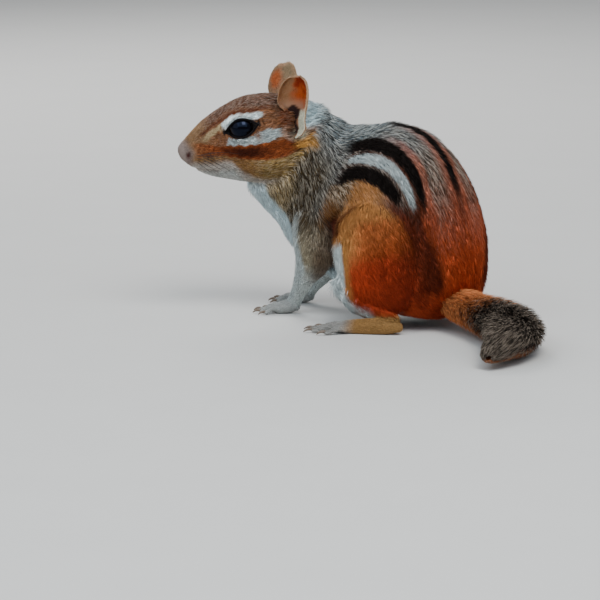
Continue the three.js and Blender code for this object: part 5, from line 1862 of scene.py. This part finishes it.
def hair_points(path, width):
    """A root point, rings of three round stations 1, 2 and 3 of the path, and its end as the tip."""
    along = unit(path[:, 2:] - path[:, :-2])
    level = unit(np.cross(along, np.array([0.1, 0.2, 1.0])))
    over = np.cross(level, along)
    rings = []
    for ring, wide in enumerate((1.0, 0.85, 0.5)):
        half = (width * wide / 2)[:, None]
        middle = path[:, ring + 1]
        rings += [
            middle + level[:, ring] * half - over[:, ring] * half * 0.4,
            middle + over[:, ring] * half * 0.9,
            middle - level[:, ring] * half - over[:, ring] * half * 0.4,
        ]
    return np.stack([path[:, 0], *rings, path[:, 4]], 1)


hair_path, hair_t, hair_turn = tail_hairs(TAIL_HAIRS)
hair_width = NUMBERS.uniform(0.26, 0.5, TAIL_HAIRS)
hairs = hair_points(hair_path, hair_width)
base_share = ramp(hair_t + 0.03 * NUMBERS.normal(size=TAIL_HAIRS), 0.3, 0.13)[:, None]
under_share = ramp(-np.sin(hair_turn), 0.3, 0.8)[:, None]
frosted = (NUMBERS.random(TAIL_HAIRS) < 0.5)[:, None]
tone = NUMBERS.uniform(0.75, 1.25, TAIL_HAIRS)[:, None]
rust = RUSTY * tone
dark = rust * base_share + (1 - base_share) * BROWN_BLACK * tone
dark = dark * (1 - 0.7 * under_share) + TAIL_BASE * 0.7 * tone * 0.7 * under_share
tip = np.where(frosted, FROST * tone, dark)
tip = tip * (1 - base_share) + TAIL_BASE * tone * base_share
mid = dark * 0.8 + rust * 0.2
hair_colour = np.stack([rust * 0.6] + [mid] * 3 + [dark] * 3 + [dark * 0.5 + tip * 0.5] * 3 + [tip], 1)

for k in range(TAIL_PIECES):
    chosen = np.arange(k, TAIL_HAIRS, TAIL_PIECES)
    n = len(chosen)
    faces = repeated(LONG_FACES, n)
    made = mesh_object(f"tail_hair_{k + 1}", hairs[chosen].reshape(-1, 3), [faces])
    paint(made, "coat", hair_colour[chosen].reshape(-1, 3))
    lay_map(made, faces, np.stack([hair_turn[chosen], hair_t[chosen] * 9], 1), LONG_PATCH)
    made.data.materials.append(FUR_FINISH)
    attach(made, BODY)
    if k == 0:
        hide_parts("tail")
    print(made.name, n, "hairs,", len(LONG_FACES) * n, "triangles")

# %% [markdown]
# ## Whiskers
#
# Fine dark bristles spring from the pads beside the nose, sweep back and droop. Each is a thin
# five-sided taper bent along a parabola.

# %% Whiskers
def whisker_shapes():
    """Four rows of four on each side. Each starts on the pad and goes out and back along a parabola:
    start + way * s + droop * s^2."""
    shapes = []
    s = np.linspace(0, 1, 8)
    for side in SIDES.values():
        for row in range(4):
            for k in range(4):
                start = on_head(5.2 + 1.4 * k, side * (4.9 + 0.5 * k), -2.6 - 0.75 * row)
                way = -FORWARD * (0.6 + 0.05 * k) + LEFT * side * (0.74 - 0.04 * k) - UP * 0.2 * row
                length = 7.0 + 1.4 * k - 0.5 * row + 1.4 * NUMBERS.random()
                bent = (-UP * 0.16 - FORWARD * 0.1) * (s**2 * length)[:, None]
                path = start + unit(way) * (s * length)[:, None] + bent
                size = 0.11 * (1 - 0.85 * s)
                rows = np.concatenate([path, size[:, None], size[:, None]], 1)
                rings, poles, _ = limb(rows, 10, 5, 0)
                shapes.append(loft(rings, poles))
    return joined(shapes)


whiskers = mesh_object("whiskers", *whisker_shapes())
whiskers.data.materials.append(WHISKER_FINISH)
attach(whiskers, BODY)
print("whisker triangles:", triangles(whiskers))

# %% [markdown]
# ## Floor, light and camera
#
# A plain pale floor, a soft warm key light from the upper right, a wide cool one over the camera, a fill
# from the left, a rim light from behind and an even pale world. The camera looks at the animal from its
# left and from behind in equal parts and from a little above, from far off with a long lens, as the
# photograph was taken.

# %% Floor
FLOOR_RADIUS, FLOOR_LEVEL = 3000, -0.02  # mm
round_floor = np.linspace(0, 2 * np.pi, 64, endpoint=False)
circle = np.stack([np.cos(round_floor), np.sin(round_floor), np.zeros(64)], -1)
floor_rings = FLOOR_RADIUS * np.array([0.02, 0.1, 0.4, 1])[:, None, None] * circle + [0, 0, FLOOR_LEVEL]
grid = np.arange(256).reshape(4, 64)
beside = np.roll(grid, -1, 1)
floor_faces = [
    np.stack([grid[:-1], grid[1:], beside[1:], beside[:-1]], -1).reshape(-1, 4),
    np.stack([np.full(64, 256), grid[0], beside[0]], -1),
]
floor_points = np.concatenate([floor_rings.reshape(-1, 3), [[0, 0, FLOOR_LEVEL]]])
floor = mesh_object("floor", floor_points, floor_faces)
FLOOR_FINISH = material("pale floor", colour=(0.6, 0.59, 0.57), roughness=0.8, amount=0.05, scale=30)
floor.data.materials.append(FLOOR_FINISH)
print("floor", FLOOR_RADIUS * 2 / 1000, "m across")

# %% Light
def area_light(name, place, aim, size, power, colour):
    """A soft light, wide by high, at a place, turned to face the aim, all in metres."""
    data = bpy.data.lights.new(name, "AREA")
    data.shape = "RECTANGLE"
    data.size, data.size_y = size
    data.energy = power
    data.color = colour
    made = bpy.data.objects.new(name, data)
    bpy.context.scene.collection.objects.link(made)
    made.location = place
    away = np.array(place) - np.array(aim)
    made.rotation_mode = "QUATERNION"
    made.rotation_quaternion = Vector(away).to_track_quat("Z", "Y")
    return made


# the camera's axes: from the animal back to the camera, to the picture's right and to its top
AZIMUTH, ELEVATION = math.radians(134), math.radians(10)
level = math.cos(ELEVATION)
BACK = np.array([math.sin(AZIMUTH) * level, -math.cos(AZIMUTH) * level, math.sin(ELEVATION)])
RIGHT = np.array([math.cos(AZIMUTH), math.sin(AZIMUTH), 0])
OVER = np.cross(BACK, RIGHT)
AIM = np.array([0, 0, 0.04])
# place along those three axes from the aim, size, both in metres, power in watts, and colour
LIGHTS = {
    "key": ((0.7, 0.22, 0.75), (0.5, 0.5), 7.5, (1, 0.96, 0.9)),
    "sky window": ((0.78, 0.05, 0.6), (1.8, 0.8), 9.0, (0.7, 0.86, 1)),
    "fill": ((0.5, -0.8, 0.4), (0.9, 0.9), 2.5, (0.95, 0.97, 1)),
    "rim": ((-0.6, -0.2, 0.6), (0.5, 0.5), 4.5, (1, 1, 1)),
}
for name, (place, size, power, colour) in LIGHTS.items():
    area_light(name, AIM + place @ np.stack([BACK, RIGHT, OVER]), AIM, size, power, colour)
world = bpy.data.worlds.new("studio")
world.use_nodes = True
world.node_tree.nodes["Background"].inputs["Color"].default_value = (0.75, 0.78, 0.82, 1)
world.node_tree.nodes["Background"].inputs["Strength"].default_value = 0.45
bpy.context.scene.world = world
print("lights:", ", ".join(LIGHTS))

# %% Camera
FIELD = 0.2  # metres across the picture at the animal
DISTANCE = 1.6
HIPS_IN_PICTURE = np.array([408.6, 321.7])  # where the middle of the hips' frame falls, of 600 x 600
shift = (HIPS_IN_PICTURE - 300) * FIELD / 600
aim = to_metres(np.zeros(3)) - RIGHT * shift[0] + OVER * shift[1]
camera = bpy.data.objects.new("camera", bpy.data.cameras.new("camera"))
bpy.context.scene.collection.objects.link(camera)
camera.data.sensor_width = 36
camera.data.lens = 36 * DISTANCE / FIELD
camera.data.clip_start, camera.data.clip_end = 0.05, 50
camera.location = aim + BACK * DISTANCE
camera.rotation_mode = "QUATERNION"
camera.rotation_quaternion = Vector(-BACK).to_track_quat("-Z", "Y")
bpy.context.scene.camera = camera
print("lens:", camera.data.lens, "mm, from", DISTANCE, "m")
